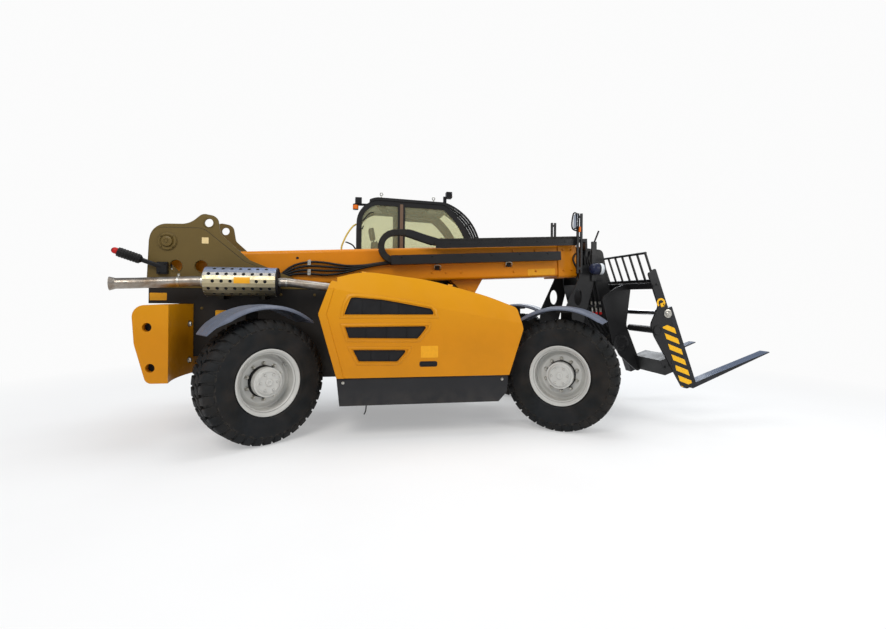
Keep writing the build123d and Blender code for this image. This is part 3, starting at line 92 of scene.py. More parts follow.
# The fork carriage's own axes from its pivot, z up along its plates.
CARRIAGE = Matrix.Translation(Vector(JOINTS["carriage_tilt"]["pos_m"])) @ turn(-CARRIAGE_LEAN, "Y")


def at(x, y, z):
    """A point of the machine from the rear axle forward, to the left and up from the ground."""
    return Vector((REAR_AXLE_X + x, y, z))


def ahead(x, y, z):
    """Axes at a point of the machine, z forward."""
    return facing(at(x, y, z), (1, 0, 0))


def beside(side, x, y, z):
    """Axes at a point so far out on one side of the machine, z to that side."""
    return facing(at(x, side * y, z), (0, side, 0))


def wheel_place(wheel):
    """A wheel's own axes: origin in its middle, z out of its outer face."""
    joint = JOINTS[f"spin_{wheel}"]
    out = Vector(joint["axis"]) * (-1 if "right" in wheel else 1)
    return Matrix.Translation(Vector(joint["pos_m"])) @ turn(atan2(-out.x, out.y)) @ outward(1)


# -------- solids, each as (points, faces)


def loft(rings, joined=False):
    """A skin over rings of equally many points, or of one point at an end; capped, or joined end to end."""
    points, rows = [], []
    for ring in rings:
        rows.append(range(len(points), len(points) + len(ring)))
        points += ring
    count = max(len(row) for row in rows)
    faces = []
    for low, high in list(zip(rows, rows[1:])) + ([(rows[-1], rows[0])] if joined else []):
        for i in range(count):
            j = (i + 1) % count
            face = [low[i % len(low)], low[j % len(low)], high[j % len(high)], high[i % len(high)]]
            faces.append([corner for k, corner in enumerate(face) if corner not in face[:k]])
    if not joined:
        faces += [list(rows[0])[::-1]] * (len(rows[0]) > 1) + [list(rows[-1])] * (len(rows[-1]) > 1)
    return points, faces


def lathe(profile, sides=24, joined=False):
    """A turned solid about z from (radius, z) pairs."""
    rings = []
    for radius, z in profile:
        angles = [tau * i / sides for i in range(sides)] if radius else [0]
        rings.append([(radius * cos(a), radius * sin(a), z) for a in angles])
    return loft(rings, joined)


def hoop(profile, sides):
    """A turned ring whose profile closes on itself."""
    return lathe(profile, sides, joined=True)


def disc(radius, depth, sides=24):
    return lathe([(radius, 0), (radius, depth), (0, depth)], sides)


def inset(outline, amount):
    """A counter-clockwise (x, y) outline drawn in by an amount."""
    drawn = []
    for i, here in enumerate(outline):
        here = Vector(here)
        back, on = here - Vector(outline[i - 1]), Vector(outline[(i + 1) % len(outline)]) - here
        left = Vector((-back.y, back.x)).normalized() + Vector((-on.y, on.x)).normalized()
        drawn.append(tuple(here + left * (2 * amount / max(left.length_squared, 0.5))))
    return drawn


def turn_left(outline):
    """The same outline, counter-clockwise."""
    area = sum(a[0] * b[1] - b[0] * a[1] for a, b in zip(outline, outline[1:] + outline[:1]))
    return outline if area > 0 else outline[::-1]


def clip(outline, low, high):
    """An outline cut off below and above two heights."""
    for keep, limit in ((1, low), (-1, high)):
        kept = []
        for (ax, az), (bx, bz) in zip(outline, outline[1:] + outline[:1]):
            inside, next_in = keep * az >= keep * limit, keep * bz >= keep * limit
            if inside:
                kept.append((ax, az))
            if inside != next_in:
                kept.append((ax + (bx - ax) * ((limit - az) / (bz - az)), limit))
        outline = kept
    return outline


def span(outline, x):
    """Lowest and highest place of an outline at one x."""
    found = []
    for (ax, ay), (bx, by) in zip(outline, outline[1:] + outline[:1]):
        if min(ax, bx) <= x <= max(ax, bx) and ax != bx:
            found.append(ay + (by - ay) * (x - ax) / (bx - ax))
    return min(found), max(found)


def prism(outline, depth, bevel=0.0):
    """A plate with an (x, y) outline, from z 0 up to its depth, its edges bevelled."""
    steps = [(outline, 0), (outline, depth)]
    if bevel:
        drawn = inset(outline, bevel)
        steps = [(drawn, 0), (outline, bevel), (outline, depth - bevel), (drawn, depth)]
    return loft([[(x, y, z) for x, y in ring] for ring, z in steps])


def rounded(width, height, radius, steps=3):
    """A rectangle about the origin with round corners."""
    outline = []
    for i in range(4):
        cx = (width / 2 - radius) * (1 if i in (0, 3) else -1)
        cy = (height / 2 - radius) * (1 if i < 2 else -1)
        angles = [pi / 2 * (i + k / steps) for k in range(steps + 1)]
        outline += [(cx + radius * cos(a), cy + radius * sin(a)) for a in angles]
    return outline


def plate(width, height, radius, depth, bevel=0.0):
    """A plate with round corners on z 0."""
    return prism(rounded(width, height, radius), depth, bevel)


def brick(x, y, z, bevel=0.003):
    """A box about the origin with all its edges bevelled."""
    points, faces = prism(rounded(x, y, bevel, 1), z, bevel)
    return [(px, py, pz - z / 2) for px, py, pz in points], faces


def fillet(corners, steps=5):
    """Places along a line through (x, y, radius) corners, its inner corners rounded to their radius."""
    line = [corners[0][:2]]
    for (ax, ay, _), (bx, by, radius), (cx, cy, _) in zip(corners, corners[1:], corners[2:]):
        here, back, on = Vector((bx, by)), Vector((ax, ay)), Vector((cx, cy))
        back, on = (back - here).normalized(), (on - here).normalized()
        half = back.angle(on) / 2
        reach = radius / tan(half)
        middle = here + (back + on).normalized() * (radius / sin(half))
        start, end = here + back * reach - middle, here + on * reach - middle
        first = atan2(start.y, start.x)
        swept = (atan2(end.y, end.x) - first + pi) % tau - pi
        for k in range(steps + 1):
            angle = first + swept * k / steps
            line.append((middle.x + radius * cos(angle), middle.y + radius * sin(angle)))
    return line + [corners[-1][:2]]


def smooth(corners, steps=6):
    """Places along a smooth line through the corners."""
    knots = [Vector(corner) for corner in corners]
    knots = [2 * knots[0] - knots[1]] + knots + [2 * knots[-1] - knots[-2]]
    line = []
    for a, b, c, d in zip(knots, knots[1:], knots[2:], knots[3:]):
        for k in range(steps):
            t = k / steps
            line.append(0.5 * (2 * b + (c - a) * t + (2 * a - 5 * b + 4 * c - d) * t * t
                               + (3 * b - a - 3 * c + d) * t ** 3))
    return line + [knots[-2]]


def sweep(line, radius, sides=10, swell=None):
    """A round bar along a line; its radius may be multiplied at each place by swell."""
    rings = []
    side = None
    for i, place in enumerate(line):
        along = (line[min(i + 1, len(line) - 1)] - line[max(i - 1, 0)]).normalized()
        side = along.orthogonal() if side is None else side - along * side.dot(along)
        side.normalize()
        other = along.cross(side)
        r = radius * (swell(i) if swell else 1.0)
        rings.append([tuple(place + r * (side * cos(tau * k / sides) + other * sin(tau * k / sides)))
                      for k in range(sides)])
    return loft(rings)


def together(*solids):
    points, faces = [], []
    for more, over in solids:
        faces += [[len(points) + i for i in face] for face in over]
        points += more
    return points, faces


def bolt(size):
    """A hexagon head on its washer, standing on z 0; size is its width across corners."""
    r = size / 2
    washer = [(r * 1.35, 0), (r * 1.35, 0.1 * size), (r * 1.25, 0.14 * size), (0, 0.14 * size)]
    head = [(r * 0.93, 0.0), (r, 0.06 * size), (r, 0.52 * size), (r * 0.86, 0.62 * size),
            (r * 0.3, 0.64 * size), (0, 0.64 * size)]
    return together(lathe(washer, 16), lathe(head, 6))


def nut(size):
    """A wheel nut on a cone washer with the stud's end showing."""
    r = size / 2
    washer = [(r * 1.3, 0), (r * 1.25, 0.16 * size), (r * 1.05, 0.24 * size), (0, 0.24 * size)]
    body = [(r, 0.2 * size), (r, 0.75 * size), (r * 0.84, 0.86 * size), (0, 0.86 * size)]
    stud = [(r * 0.52, 0.8 * size), (r * 0.52, 1.1 * size), (r * 0.42, 1.16 * size), (0, 1.16 * size)]
    return together(lathe(washer, 16), lathe(body, 6), lathe(stud, 12))


# -------- pieces

# The record's slot that a small part's finish counts as, where it isn't a slot of its own.
SLOTS = {"zinc": "rod_chrome", "hose_rubber": "dark_plastic", "chain_nylon": "dark_plastic",
         "label_orange": "yellow_paint", "label_pale": "yellow_paint", "label_yellow": "yellow_paint",
         "stripe_yellow": "yellow_paint", "arm_yellow": "yellow_paint", "pillar_strip": "bronze_paint",
         "red_plastic": "lamp", "amber_plastic": "lamp", "lens_white": "glass", "mirror": "glass"}


class Piece:
    """A mesh gathered from many small solids, which rides on one body in one finish."""

    def __init__(self, name, finish, body="chassis", slot=None):
        self.name, self.finish, self.body = name, finish, body
        self.slot = slot or SLOTS.get(finish, finish)
        self.points, self.faces = [], []

    def add(self, place, *solids):
        """Adds solids at a place, their faces turned round where it mirrors them."""
        for points, faces in solids:
            start = len(self.points)
            self.points += [place @ Vector(point) for point in points]
            for face in faces:
                self.faces.append([start + i for i in (face[::-1] if place.determinant() < 0 else face)])
        return self

    def around(self, place, count, radius, height, solid, first=0):
        """The same solid many times on a circle about z."""
        for i in range(count):
            self.add(place @ turn(tau * (i + first) / count) @ shift(radius, 0, height), solid)
        return self

    def bar(self, corners, radius, sides=8):
        """A round bar along a smooth line through points of the machine."""
        return self.add(HERE, sweep(smooth([at(*corner) for corner in corners]), radius, sides))

    def mesh(self, angle=32):
        mesh = bpy.data.meshes.new(self.name)
        mesh.from_pydata(self.points, [], self.faces)
        mesh.materials.append(MATERIALS[self.finish])
        mesh.polygons.foreach_set("use_smooth", [True] * len(mesh.polygons))
        mesh.set_sharp_from_angle(angle=radians(angle))
        return mesh

    def done(self):
        return put(self.name, self.mesh(), self.body)


def put(name, mesh, body, place=HERE):
    """A piece of the object in the scene, riding on its body."""
    piece = bpy.data.objects.new(name, mesh)
    piece.matrix_world = place
    bpy.context.collection.objects.link(piece)
    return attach(piece, body)


def done(*pieces):
    for piece in pieces:
        piece.done()


# -------- materials

MATERIALS = {}
EDGE_SAMPLES, COAT_ROUGHNESS, SPECULAR = 4, 0.12, 0.22


def srgb(red, green, blue):
    """A linear colour from 0 to 255 display values."""
    shares = (v / 255 for v in (red, green, blue))
    return tuple(((v + 0.055) / 1.055) ** 2.4 if v > 0.0405 else v / 12.92 for v in shares) + (1.0,)


def tinted(colour, share):
    """The colour made lighter above 1 or darker below it."""
    return tuple(min(1.0, v * share) for v in colour[:3]) + (1.0,)


def wire(tree, node, inputs):
    """Gives a node's inputs their values, or links them to the outputs that feed them."""
    for key, value in dict(inputs).items():
        if isinstance(value, bpy.types.NodeSocket):
            tree.links.new(value, node.inputs[key])
        else:
            node.inputs[key].default_value = value


def add_node(tree, kind, inputs=(), **settings):
    node = tree.nodes.new("ShaderNode" + kind)
    for key, value in settings.items():
        setattr(node, key, value)
    wire(tree, node, inputs)
    return node


class Recipe:
    """A node material built up step by step on one Principled shader."""

    def __init__(self, name, colour, roughness, metallic=0.0, coat=0.0):
        self.name = name
        self.material = bpy.data.materials.new(name)
        self.material.use_nodes = True
        self.material.diffuse_color = colour
        self.tree = self.material.node_tree
        self.shader = self.tree.nodes["Principled BSDF"]
        wire(self.tree, self.shader, {"Metallic": metallic, "Coat Weight": coat,
                                      "Coat Roughness": COAT_ROUGHNESS, "Specular IOR Level": SPECULAR})
        self.coordinates = self.node("TexCoord").outputs["Object"]
        self.colour, self.roughness = self.node("RGB").outputs[0], self.node("Value").outputs[0]
        self.colour.default_value, self.roughness.default_value = colour, roughness
        self.height = None

    def node(self, kind, inputs=(), **settings):
        return add_node(self.tree, kind, inputs, **settings)

    def split(self, source, axis):
        """One of the three numbers of a vector."""
        return self.node("SeparateXYZ", {0: source}).outputs[axis]

    def normal(self):
        return self.node("NewGeometry").outputs["Normal"]

    def noise(self, scale, low, high, detail=4.0):
        """Noise from 0 to 1 between two levels, at so many ripples a metre."""
        texture = self.node("TexNoise", {"Vector": self.coordinates, "Scale": scale, "Detail": detail})
        return self.levels(texture.outputs["Fac"], low, high)

    def levels(self, source, low, high, to_low=0.0, to_high=1.0):
        return self.node("MapRange", {"Value": source, "From Min": low, "From Max": high,
                                      "To Min": to_low, "To Max": to_high}).outputs[0]

    def math(self, operation, a, b):
        return self.node("Math", {0: a, 1: b}, operation=operation).outputs[0]

    def tint(self, factor, colour, roughness=None):
        """Lays a colour, and a roughness with it, over what is there by a factor."""
        mix = self.node("Mix", {"Factor": factor, 6: self.colour, 7: colour}, data_type="RGBA")
        self.colour = mix.outputs[2]
        if roughness is not None:
            mix = self.node("Mix", {"Factor": factor, 2: self.roughness, 3: roughness}, data_type="FLOAT")
            self.roughness = mix.outputs[0]
        return self

    def mottled(self, colour, scale, amount):
        """Broad uneven patches of another shade."""
        return self.tint(self.math("MULTIPLY", self.noise(scale, 0.42, 0.68), amount), colour)

    def uneven(self, scale, spread):
        """Roughness that varies over the surface."""
        extra = self.levels(self.noise(scale, 0.3, 0.7), 0.0, 1.0, -spread, spread)
        self.roughness = self.math("ADD", self.roughness, extra)
        return self

    def dusty(self, amount, height=None):
        """Dust that settles on what faces up and, where a height is given, on what lies below it."""
        up = self.levels(self.split(self.normal(), "Z"), 0.35, 1.0)
        if height:
            low = self.levels(self.split(self.coordinates, "Z"), height, height * 0.25)
            up = self.math("MAXIMUM", up, low)
        cloud = self.noise(7.0, 0.35, 0.75)
        return self.tint(self.math("MULTIPLY", self.math("MULTIPLY", up, cloud), amount), DUST, 0.85)

    def worn(self, colour, radius, amount, roughness=0.35):
        """Bare or polished edges, broken up by noise."""
        bevel = self.node("Bevel", {"Radius": radius}, samples=EDGE_SAMPLES).outputs[0]
        dot = self.node("VectorMath", {0: bevel, 1: self.normal()}, operation="DOT_PRODUCT")
        edge = self.levels(dot.outputs["Value"], 0.985, 0.86)
        broken = self.math("MULTIPLY", edge, self.noise(22.0, 0.42, 0.62))
        return self.tint(self.math("MULTIPLY", broken, amount), colour, roughness)

    def bumpy(self, scale, depth, detail=3.0):
        """Fine relief of so many ripples a metre and so deep in metres."""
        relief = self.math("MULTIPLY", self.noise(scale, 0.2, 0.8, detail), depth)
        self.height = relief if self.height is None else self.math("ADD", self.height, relief)
        return self

    def done(self, softened=0.0):
        """Joins everything up, with edges softened to a radius."""
        inputs = {"Base Color": self.colour, "Roughness": self.roughness}
        if softened:
            inputs["Normal"] = self.node("Bevel", {"Radius": softened}, samples=EDGE_SAMPLES).outputs[0]
        if self.height is not None:
            bump = {"Distance": 1.0, "Strength": 0.8, "Height": self.height}
            if softened:
                bump["Normal"] = inputs["Normal"]
            inputs["Normal"] = self.node("Bump", bump).outputs[0]
        wire(self.tree, self.shader, inputs)
        MATERIALS[self.name] = self.material

    def blend(self, factor, other):
        """Mixes another shader over the Principled one."""
        mix = self.node("MixShader", {0: factor, 1: self.shader.outputs[0], 2: other.outputs[0]})
        wire(self.tree, self.tree.nodes["Material Output"], {"Surface": mix.outputs[0]})


DUST = srgb(176, 164, 146)
HIGHLIGHT_YELLOW = srgb(222, 156, 12)
ENAMELS = (  # name, colour, dust, coat, roughness, height below which dust lies, heights over which the top is painted lighter as a painted highlight
    ("yellow_paint", (202, 129, 0), 0.04, 0.05, 0.38, None, (1.15, 1.85)),
    ("boom_paint", (212, 128, 0), 0.04, 0.05, 0.38, None, None),
    ("bronze_paint", (102, 84, 42), 0.1, 0.05, 0.45, None, None),
    ("black_steel", (29, 29, 30), 0.12, 0.1, 0.42, None, None),
    ("dark_chassis", (36, 33, 30), 0.25, 0.05, 0.55, 0.9, None),
    ("rim_paint", (194, 193, 188), 0.1, 0.1, 0.36, None, None),
    ("cast_iron", (42, 39, 36), 0.35, 0.0, 0.65, 1.0, None))
SIGNS = (
    ("label_orange", (240, 170, 36)), ("label_pale", (232, 206, 150)), ("label_yellow", (230, 160, 30)),
    ("stripe_yellow", (236, 178, 28)), ("arm_yellow", (214, 190, 92)), ("pillar_strip", (112, 92, 76)),
    ("red_plastic", (186, 24, 20)), ("amber_plastic", (226, 116, 30)))


def enamel(name, display, dust, coat, roughness, height, crown):
    """Sprayed enamel: gloss with orange peel, uneven shade, dust, rubbed edges, and where heights are given a
    painted highlight that lightens the upper part.
    """
    colour = srgb(*display)
    recipe = Recipe(name, colour, roughness, coat=coat)
    recipe.mottled(tinted(colour, 0.82), 1.7, 0.35).mottled(tinted(colour, 1.1), 9.0, 0.25)
    # Painted highlight: between the given heights the colour grows lighter towards the top, standing in for light
    # from above.
    if crown:
        recipe.tint(recipe.levels(recipe.split(recipe.coordinates, "Z"), *crown, 0.0, 0.7), HIGHLIGHT_YELLOW)
    recipe.uneven(6.0, 0.1).dusty(dust, height).worn(tinted(colour, 0.45), 0.005, 0.35)
    recipe.bumpy(260.0, 0.00025).done(0.006)


def make_metals():
    fork = Recipe("fork_steel", srgb(32, 32, 34), 0.4)  # black sides, and the up-facing top faces painted a glossier blue-grey as a painted sky reflection
    fork.tint(fork.levels(fork.split(fork.normal(), "Z"), 0.6, 0.8), srgb(74, 86, 108), 0.26)
    fork.mottled(srgb(58, 62, 72), 9.0, 0.3).uneven(14.0, 0.1).worn(srgb(120, 120, 122), 0.006, 0.4)
    fork.bumpy(120.0, 0.0004).done(0.004)
    shield = Recipe("heat_shield", srgb(196, 184, 150), 0.42, 0.9)
    # Painted light: faces that look up are tinted blue-grey as a painted sky reflection, faces that look down are
    # darkened as painted shade, and the strip along the bottom is made near black as painted shade.
    up = shield.split(shield.normal(), "Z")
    shield.tint(shield.levels(up, 0.25, 0.85), srgb(150, 164, 196))
    shield.tint(shield.levels(up, -0.05, -0.75), srgb(104, 96, 74))
    shield.tint(shield.levels(shield.split(shield.coordinates, "Z"), 1.604, 1.6), srgb(24, 23, 22), 0.8)
    shield.mottled(srgb(140, 134, 118), 5.0, 0.35).uneven(25.0, 0.1).bumpy(220.0, 0.0003).done(0.003)
    Recipe("rod_chrome", srgb(214, 214, 216), 0.14, 1.0).mottled(
        srgb(170, 168, 165), 14.0, 0.3).uneven(30.0, 0.05).done(0.003)
    Recipe("pipe_steel", srgb(150, 143, 134), 0.38, 1.0).mottled(srgb(120, 96, 70), 4.0, 0.6).mottled(
        srgb(196, 192, 186), 12.0, 0.4).uneven(16.0, 0.12).bumpy(160.0, 0.0004).done(0.003)
    Recipe("zinc", srgb(188, 186, 178), 0.32, 1.0).mottled(
        srgb(120, 112, 100), 30.0, 0.5).uneven(40.0, 0.1).done(0.001)
    Recipe("mirror", srgb(214, 218, 224), 0.04, 1.0).mottled(srgb(196, 200, 208), 6.0, 0.3).done()


def make_plastics():
    Recipe("tyre_rubber", srgb(19, 20, 20), 0.7).mottled(srgb(54, 47, 41), 5.0, 0.5).mottled(
        srgb(30, 34, 38), 2.0, 0.5).worn(srgb(74, 68, 60), 0.01, 0.5, 0.8).uneven(20, 0.1).bumpy(
        140.0, 0.0007).bumpy(18.0, 0.0012).done(0.005)
    Recipe("fender_plastic", srgb(92, 98, 112), 0.36).mottled(srgb(112, 118, 134), 6.0, 0.45).dusty(0.1).worn(
        srgb(140, 146, 162), 0.008, 0.5, 0.4).bumpy(420.0, 0.0004).done(0.006)
    Recipe("skirt_plastic", srgb(37, 37, 39), 0.5).mottled(srgb(44, 44, 46), 3.0, 0.5).dusty(
        0.12, 0.6).uneven(12.0, 0.1).bumpy(380.0, 0.0004).done(0.005)
    Recipe("dark_plastic", srgb(22, 22, 24), 0.55).mottled(srgb(36, 36, 38), 8.0, 0.4).dusty(0.1).bumpy(
        300.0, 0.0005).done(0.003)
    Recipe("hose_rubber", srgb(17, 17, 18), 0.45).mottled(srgb(34, 32, 31), 14.0, 0.4).dusty(0.1).bumpy(
        500.0, 0.0004).done()
    Recipe("chain_nylon", srgb(30, 29, 28), 0.5).mottled(srgb(44, 42, 38), 9.0, 0.5).dusty(0.1).uneven(
        30.0, 0.1).done(0.001)
    Recipe("seat_fabric", srgb(44, 45, 50), 0.9).mottled(srgb(66, 68, 74), 40.0, 0.5).bumpy(
        900.0, 0.0006, 1.0).done()
    lamp = Recipe("lamp", srgb(24, 24, 26), 0.35)
    lens_ends = at(4.2, 0, 0)[0], at(4.22, 0, 0)[0]
    lamp.tint(lamp.levels(lamp.split(lamp.coordinates, "X"), *lens_ends), srgb(30, 36, 62), 0.28)
    lamp.mottled(srgb(36, 37, 42), 9.0, 0.4).dusty(0.06).done(0.004)
    for name, display in SIGNS:
        colour = srgb(*display)
        Recipe(name, colour, 0.42).mottled(tinted(colour, 0.8), 25.0, 0.35).dusty(0.15).uneven(
            30.0, 0.08).done()


def make_glass():
    """Lenses, and tinted window glass that lets dark things behind it stay dark."""
    Recipe("lens_white", srgb(226, 230, 232), 0.08, coat=0.6).mottled(srgb(176, 184, 196), 40.0, 0.6).bumpy(
        180.0, 0.002, 1.0).done()
    colour = srgb(228, 230, 196)
    pane = Recipe("glass", colour, 0.06)
    pane.mottled(tinted(colour, 0.8), 5.0, 0.3).uneven(8.0, 0.03).done()
    pane.shader.inputs["Alpha"].default_value = 0.22
    pane.blend(0.35, pane.node("BsdfTransparent", {"Color": colour}))


def dress_nodes():
    """Every CAD node wears the finish of its slot in the record."""
    for row in frame["record"]["subparts"]:
        materials = frame["nodes"][row["node"]].data.materials
        materials.clear()
        materials.append(MATERIALS[row["material_slot"]])


# -------- wheels

TREAD_R, TREAD_DEPTH, TREAD_PITCHES = 0.675, 0.026, 36
CHAMFER = 0.007  # of a tread block's top edges


def carcass():
    """The tyre's casing: bead, bulged sidewalls with their rings, and the floor of the tread."""
    side = [(0.3185, 0.15), (0.326, 0.163), (0.345, 0.17), (0.362, 0.1735), (0.37, 0.184), (0.382, 0.196),
            (0.396, 0.2), (0.403, 0.1985), (0.44, 0.208), (0.49, 0.216), (0.54, 0.2205), (0.566, 0.2218),
            (0.57, 0.2225), (0.582, 0.2215), (0.588, 0.214), (0.606, 0.205), (0.628, 0.192), (0.644, 0.172),
            (0.649, 0.14), (0.649, 0.06)]
    return hoop([(r, -z) for r, z in side] + side[::-1], 108)


def tread_block(stations, turned):
    """One rubber block from stations of (z, half angle in degrees, its skew, top radius, foot radius)."""
    rings = []
    for z, half, skew, top, foot in stations:
        rows = [(half, foot), (half, top - CHAMFER), (half * 0.88, top), (-half * 0.88, top),
                (-half, top - CHAMFER), (-half, foot)]
        rings.append([(r * cos(radians(turned + skew + a)), r * sin(radians(turned + skew + a)), z)
                      for a, r in rows])
    return loft(rings)


def tyre_mesh():
    """Casing with two rows of shoulder blocks that wrap over its edges and a zigzag row between."""
    tyre = Piece("tyre", "tyre_rubber").add(HERE, carcass())
    top, floor = TREAD_R, TREAD_R - TREAD_DEPTH - 0.012
    shoulder = [
        (0.05, 3.2, 1.5, top - 0.005, floor), (0.056, 3.5, 1.4, top, floor), (0.105, 3.8, 0.5, top, floor),
        (0.15, 4.0, -0.3, top - 0.001, floor), (0.166, 4.0, -0.6, top - 0.006, floor),
        (0.186, 3.9, -0.8, 0.65, 0.6), (0.205, 3.7, -0.9, 0.622, 0.58), (0.217, 3.4, -1.0, 0.598, 0.57),
        (0.2215, 3.0, -1.0, 0.586, 0.566)]
    centre = [
        (-0.042, 3.6, -1.6, top - 0.005, floor), (-0.036, 4.0, -1.4, top, floor), (0.0, 4.2, 0.0, top, floor),
        (0.036, 4.0, 1.4, top, floor), (0.042, 3.6, 1.6, top - 0.005, floor)]
    for i in range(TREAD_PITCHES):
        turned = 360 / TREAD_PITCHES * i
        tyre.add(HERE, tread_block(shoulder, turned), tread_block(centre, turned + 3))
        tyre.add(Matrix.Diagonal((1, 1, -1, 1)), tread_block(shoulder, turned + 180 / TREAD_PITCHES))
    return tyre.mesh(40)


def rim_detail_mesh():
    """The hub's cover bolts, its boss and band, the teeth round it, and the valve."""
    detail = Piece("rim_detail", "rim_paint").around(HERE, 6, 0.094, 0.187, bolt(0.022))
    detail.add(HERE, lathe([(0.04, 0.186), (0.04, 0.194), (0.034, 0.199), (0.02, 0.199), (0.016, 0.194),
                            (0, 0.194)], 32),
               lathe([(0.121, 0.1865), (0.121, 0.19), (0.117, 0.192), (0.112, 0.192), (0.109, 0.1865)], 48))
    detail.around(HERE, 24, 0.16, 0.058, brick(0.008, 0.012, 0.012, 0.002))
    detail.add(turn(radians(215)) @ shift(0.285, 0, 0.035) @ turn(0.5, "Y"), lathe(
        [(0.012, 0), (0.012, 0.012), (0.006, 0.016), (0.006, 0.05), (0.0085, 0.052), (0.0085, 0.066),
         (0, 0.068)], 12))
    return detail.mesh()


def make_wheels():
    tyre, rim = tyre_mesh(), rim_detail_mesh()
    nuts = Piece("wheel_nuts", "zinc").around(HERE, 10, 0.196, 0.05, nut(0.036), 0.5).mesh()
    # A dark ring round the base of each hub drum: painted shade standing in for the drum's shaded side.
    shade_ring = Piece("hub_shade_ring", "dark_plastic").add(HERE, hoop(
        [(0.1605, 0.0502), (0.174, 0.0506), (0.172, 0.06), (0.1655, 0.064), (0.1635, 0.1), (0.1605, 0.104)],
        48)).mesh()
    for wheel in WHEELS:
        body, place = f"wheel_{wheel}", wheel_place(wheel)
        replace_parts(put(f"tread_{wheel}", tyre, body, place), f"tyre_{wheel}")
        put(f"rim_detail_{wheel}", rim, body, place)
        put(f"wheel_nuts_{wheel}", nuts, body, place)
        put(f"hub_shade_ring_{wheel}", shade_ring, body, place)


# -------- tail

LABEL_T, PLATE_T = 0.0015, 0.0016  # thickness of the blank plates
BOOM_PIN_X, BOOM_PIN_Z = -1.08, 2.235
EXHAUST_Y, EXHAUST_Z, RIVETS, RIVET_R = -0.65, 1.765, 16, 0.1655
CLAMP_BAND = [(0.0603, -0.013), (0.064, -0.013), (0.064, 0.013), (0.0603, 0.013)]


def make_counterweight():
    """Bolts in its sockets, caps, dark discs as painted shade in its sockets and side holes, and two blank plates.
    """
    bolts, plugs_and_hole_shade = Piece("weight_bolts", "zinc"), Piece("weight_plugs_and_hole_shade", "dark_plastic")
    label = Piece("weight_label", "label_orange")
    for side in SIDES:
        for z in (1.27, 0.85):
            bolts.add(ahead(-0.815, side * 0.49, z), bolt(0.052))
            # A dark disc deep in each bolt's socket: painted shade of the deep socket.
            plugs_and_hole_shade.add(ahead(-0.889, side * 0.49, z), disc(0.0395, 0.004))
        for x, z in ((-1.01, 1.27), (-0.977, 0.85)):
            # A dark disc over each side hole: painted shade of the hole's inside.
            plugs_and_hole_shade.add(beside(side, x, 1.0705, z), disc(0.0445, 0.004))
    cap = lathe([(0.03, -0.004), (0.03, 0.003), (0.02, 0.004), (0, 0.004)], 20)
    for x, z, normal in ((-1.157, 1.36, BACK), (-1.085, 0.86, (-0.94, 0, -0.33))):
        for y in (-0.7, 0.7):
            plugs_and_hole_shade.add(facing(at(x, y, z), normal), cap)
    for y in (-0.62, 0.62):
        label.add(facing(at(-1.1592, y, 1.2), BACK), plate(0.16, 0.08, 0.01, LABEL_T))
    done(bolts, plugs_and_hole_shade, label)


def make_towers():
    """Caps of the boom's pin, collars, bolts, blank plates and the seams of the doubler plates."""
    caps, bolts = Piece("pivot_pin_caps", "bronze_paint"), Piece("tower_bolts", "bronze_paint")
    pale, orange = Piece("tower_labels", "label_pale"), Piece("chassis_labels", "label_orange")
    seams = Piece("tower_seams", "dark_plastic")
    doubler = fillet([(-1.3, 1.69, 0), (-1.272, 2.395, 0.16), (-0.69, 2.403, 0.2), (-0.23, 2.02, 0.06),
                      (0.536, 1.69, 0)])
    for side in SIDES:
        caps.add(beside(side, BOOM_PIN_X, 0.438, BOOM_PIN_Z), lathe(
            [(0.06, -0.004), (0.06, 0.004), (0.052, 0.008), (0.03, 0.008), (0.028, 0.003), (0.014, 0.003),
             (0.012, 0.012), (0, 0.012)], 40))
        caps.add(beside(side, BOOM_PIN_X, 0.422, BOOM_PIN_Z), lathe(
            [(0.1, 0), (0.1, 0.004), (0.094, 0.008), (0.078, 0.008), (0.074, 0.003), (0.066, 0.001)], 48))
        for k in range(4):
            x, z = 0.087 * cos(tau * (k + 0.5) / 4), 0.087 * sin(tau * (k + 0.5) / 4)
            bolts.add(beside(side, BOOM_PIN_X + x, 0.429, BOOM_PIN_Z + z), bolt(0.018))
        for x in (-0.985, -0.71):
            caps.add(beside(side, x, 0.404, 1.95), hoop(
                [(0.0702, 0.0), (0.0702, 0.008), (0.074, 0.0085), (0.079, 0.0045)], 40))
        caps.add(beside(side, -0.63, 0.4, 2.47), hoop(
            [(0.0502, -0.004), (0.0502, 0.006), (0.058, 0.007), (0.066, 0.0)], 40))
        pale.add(beside(side, -0.667, 0.408, 2.257), plate(0.075, 0.072, 0.006, LABEL_T))
        for x, z in ((-1.176, 1.585), (-0.456, 1.383)):
            orange.add(beside(side, x, 0.4, z), plate(0.185, 0.088, 0.01, LABEL_T))
        for x, y in ((-1.22, 0.408), (-0.9, 0.408), (-0.55, 0.408), (0.1, 0.408), (0.45, 0.4)):
            bolts.add(beside(side, x, y, 1.725), bolt(0.024))
        for x, z in ((-0.7, 1.45), (-0.25, 1.62), (0.2, 1.62), (0.6, 1.62)):
            bolts.add(beside(side, x, 0.4, z), bolt(0.026))
        seams.add(HERE, sweep([at(x, side * 0.402, z) for x, z in doubler], 0.0045, 6))
    done(caps, bolts, pale, orange, seams)


def on_exhaust(x, drop=0.0):
    """Axes on the muffler's middle line, z forward."""
    return ahead(x, EXHAUST_Y, EXHAUST_Z - drop)


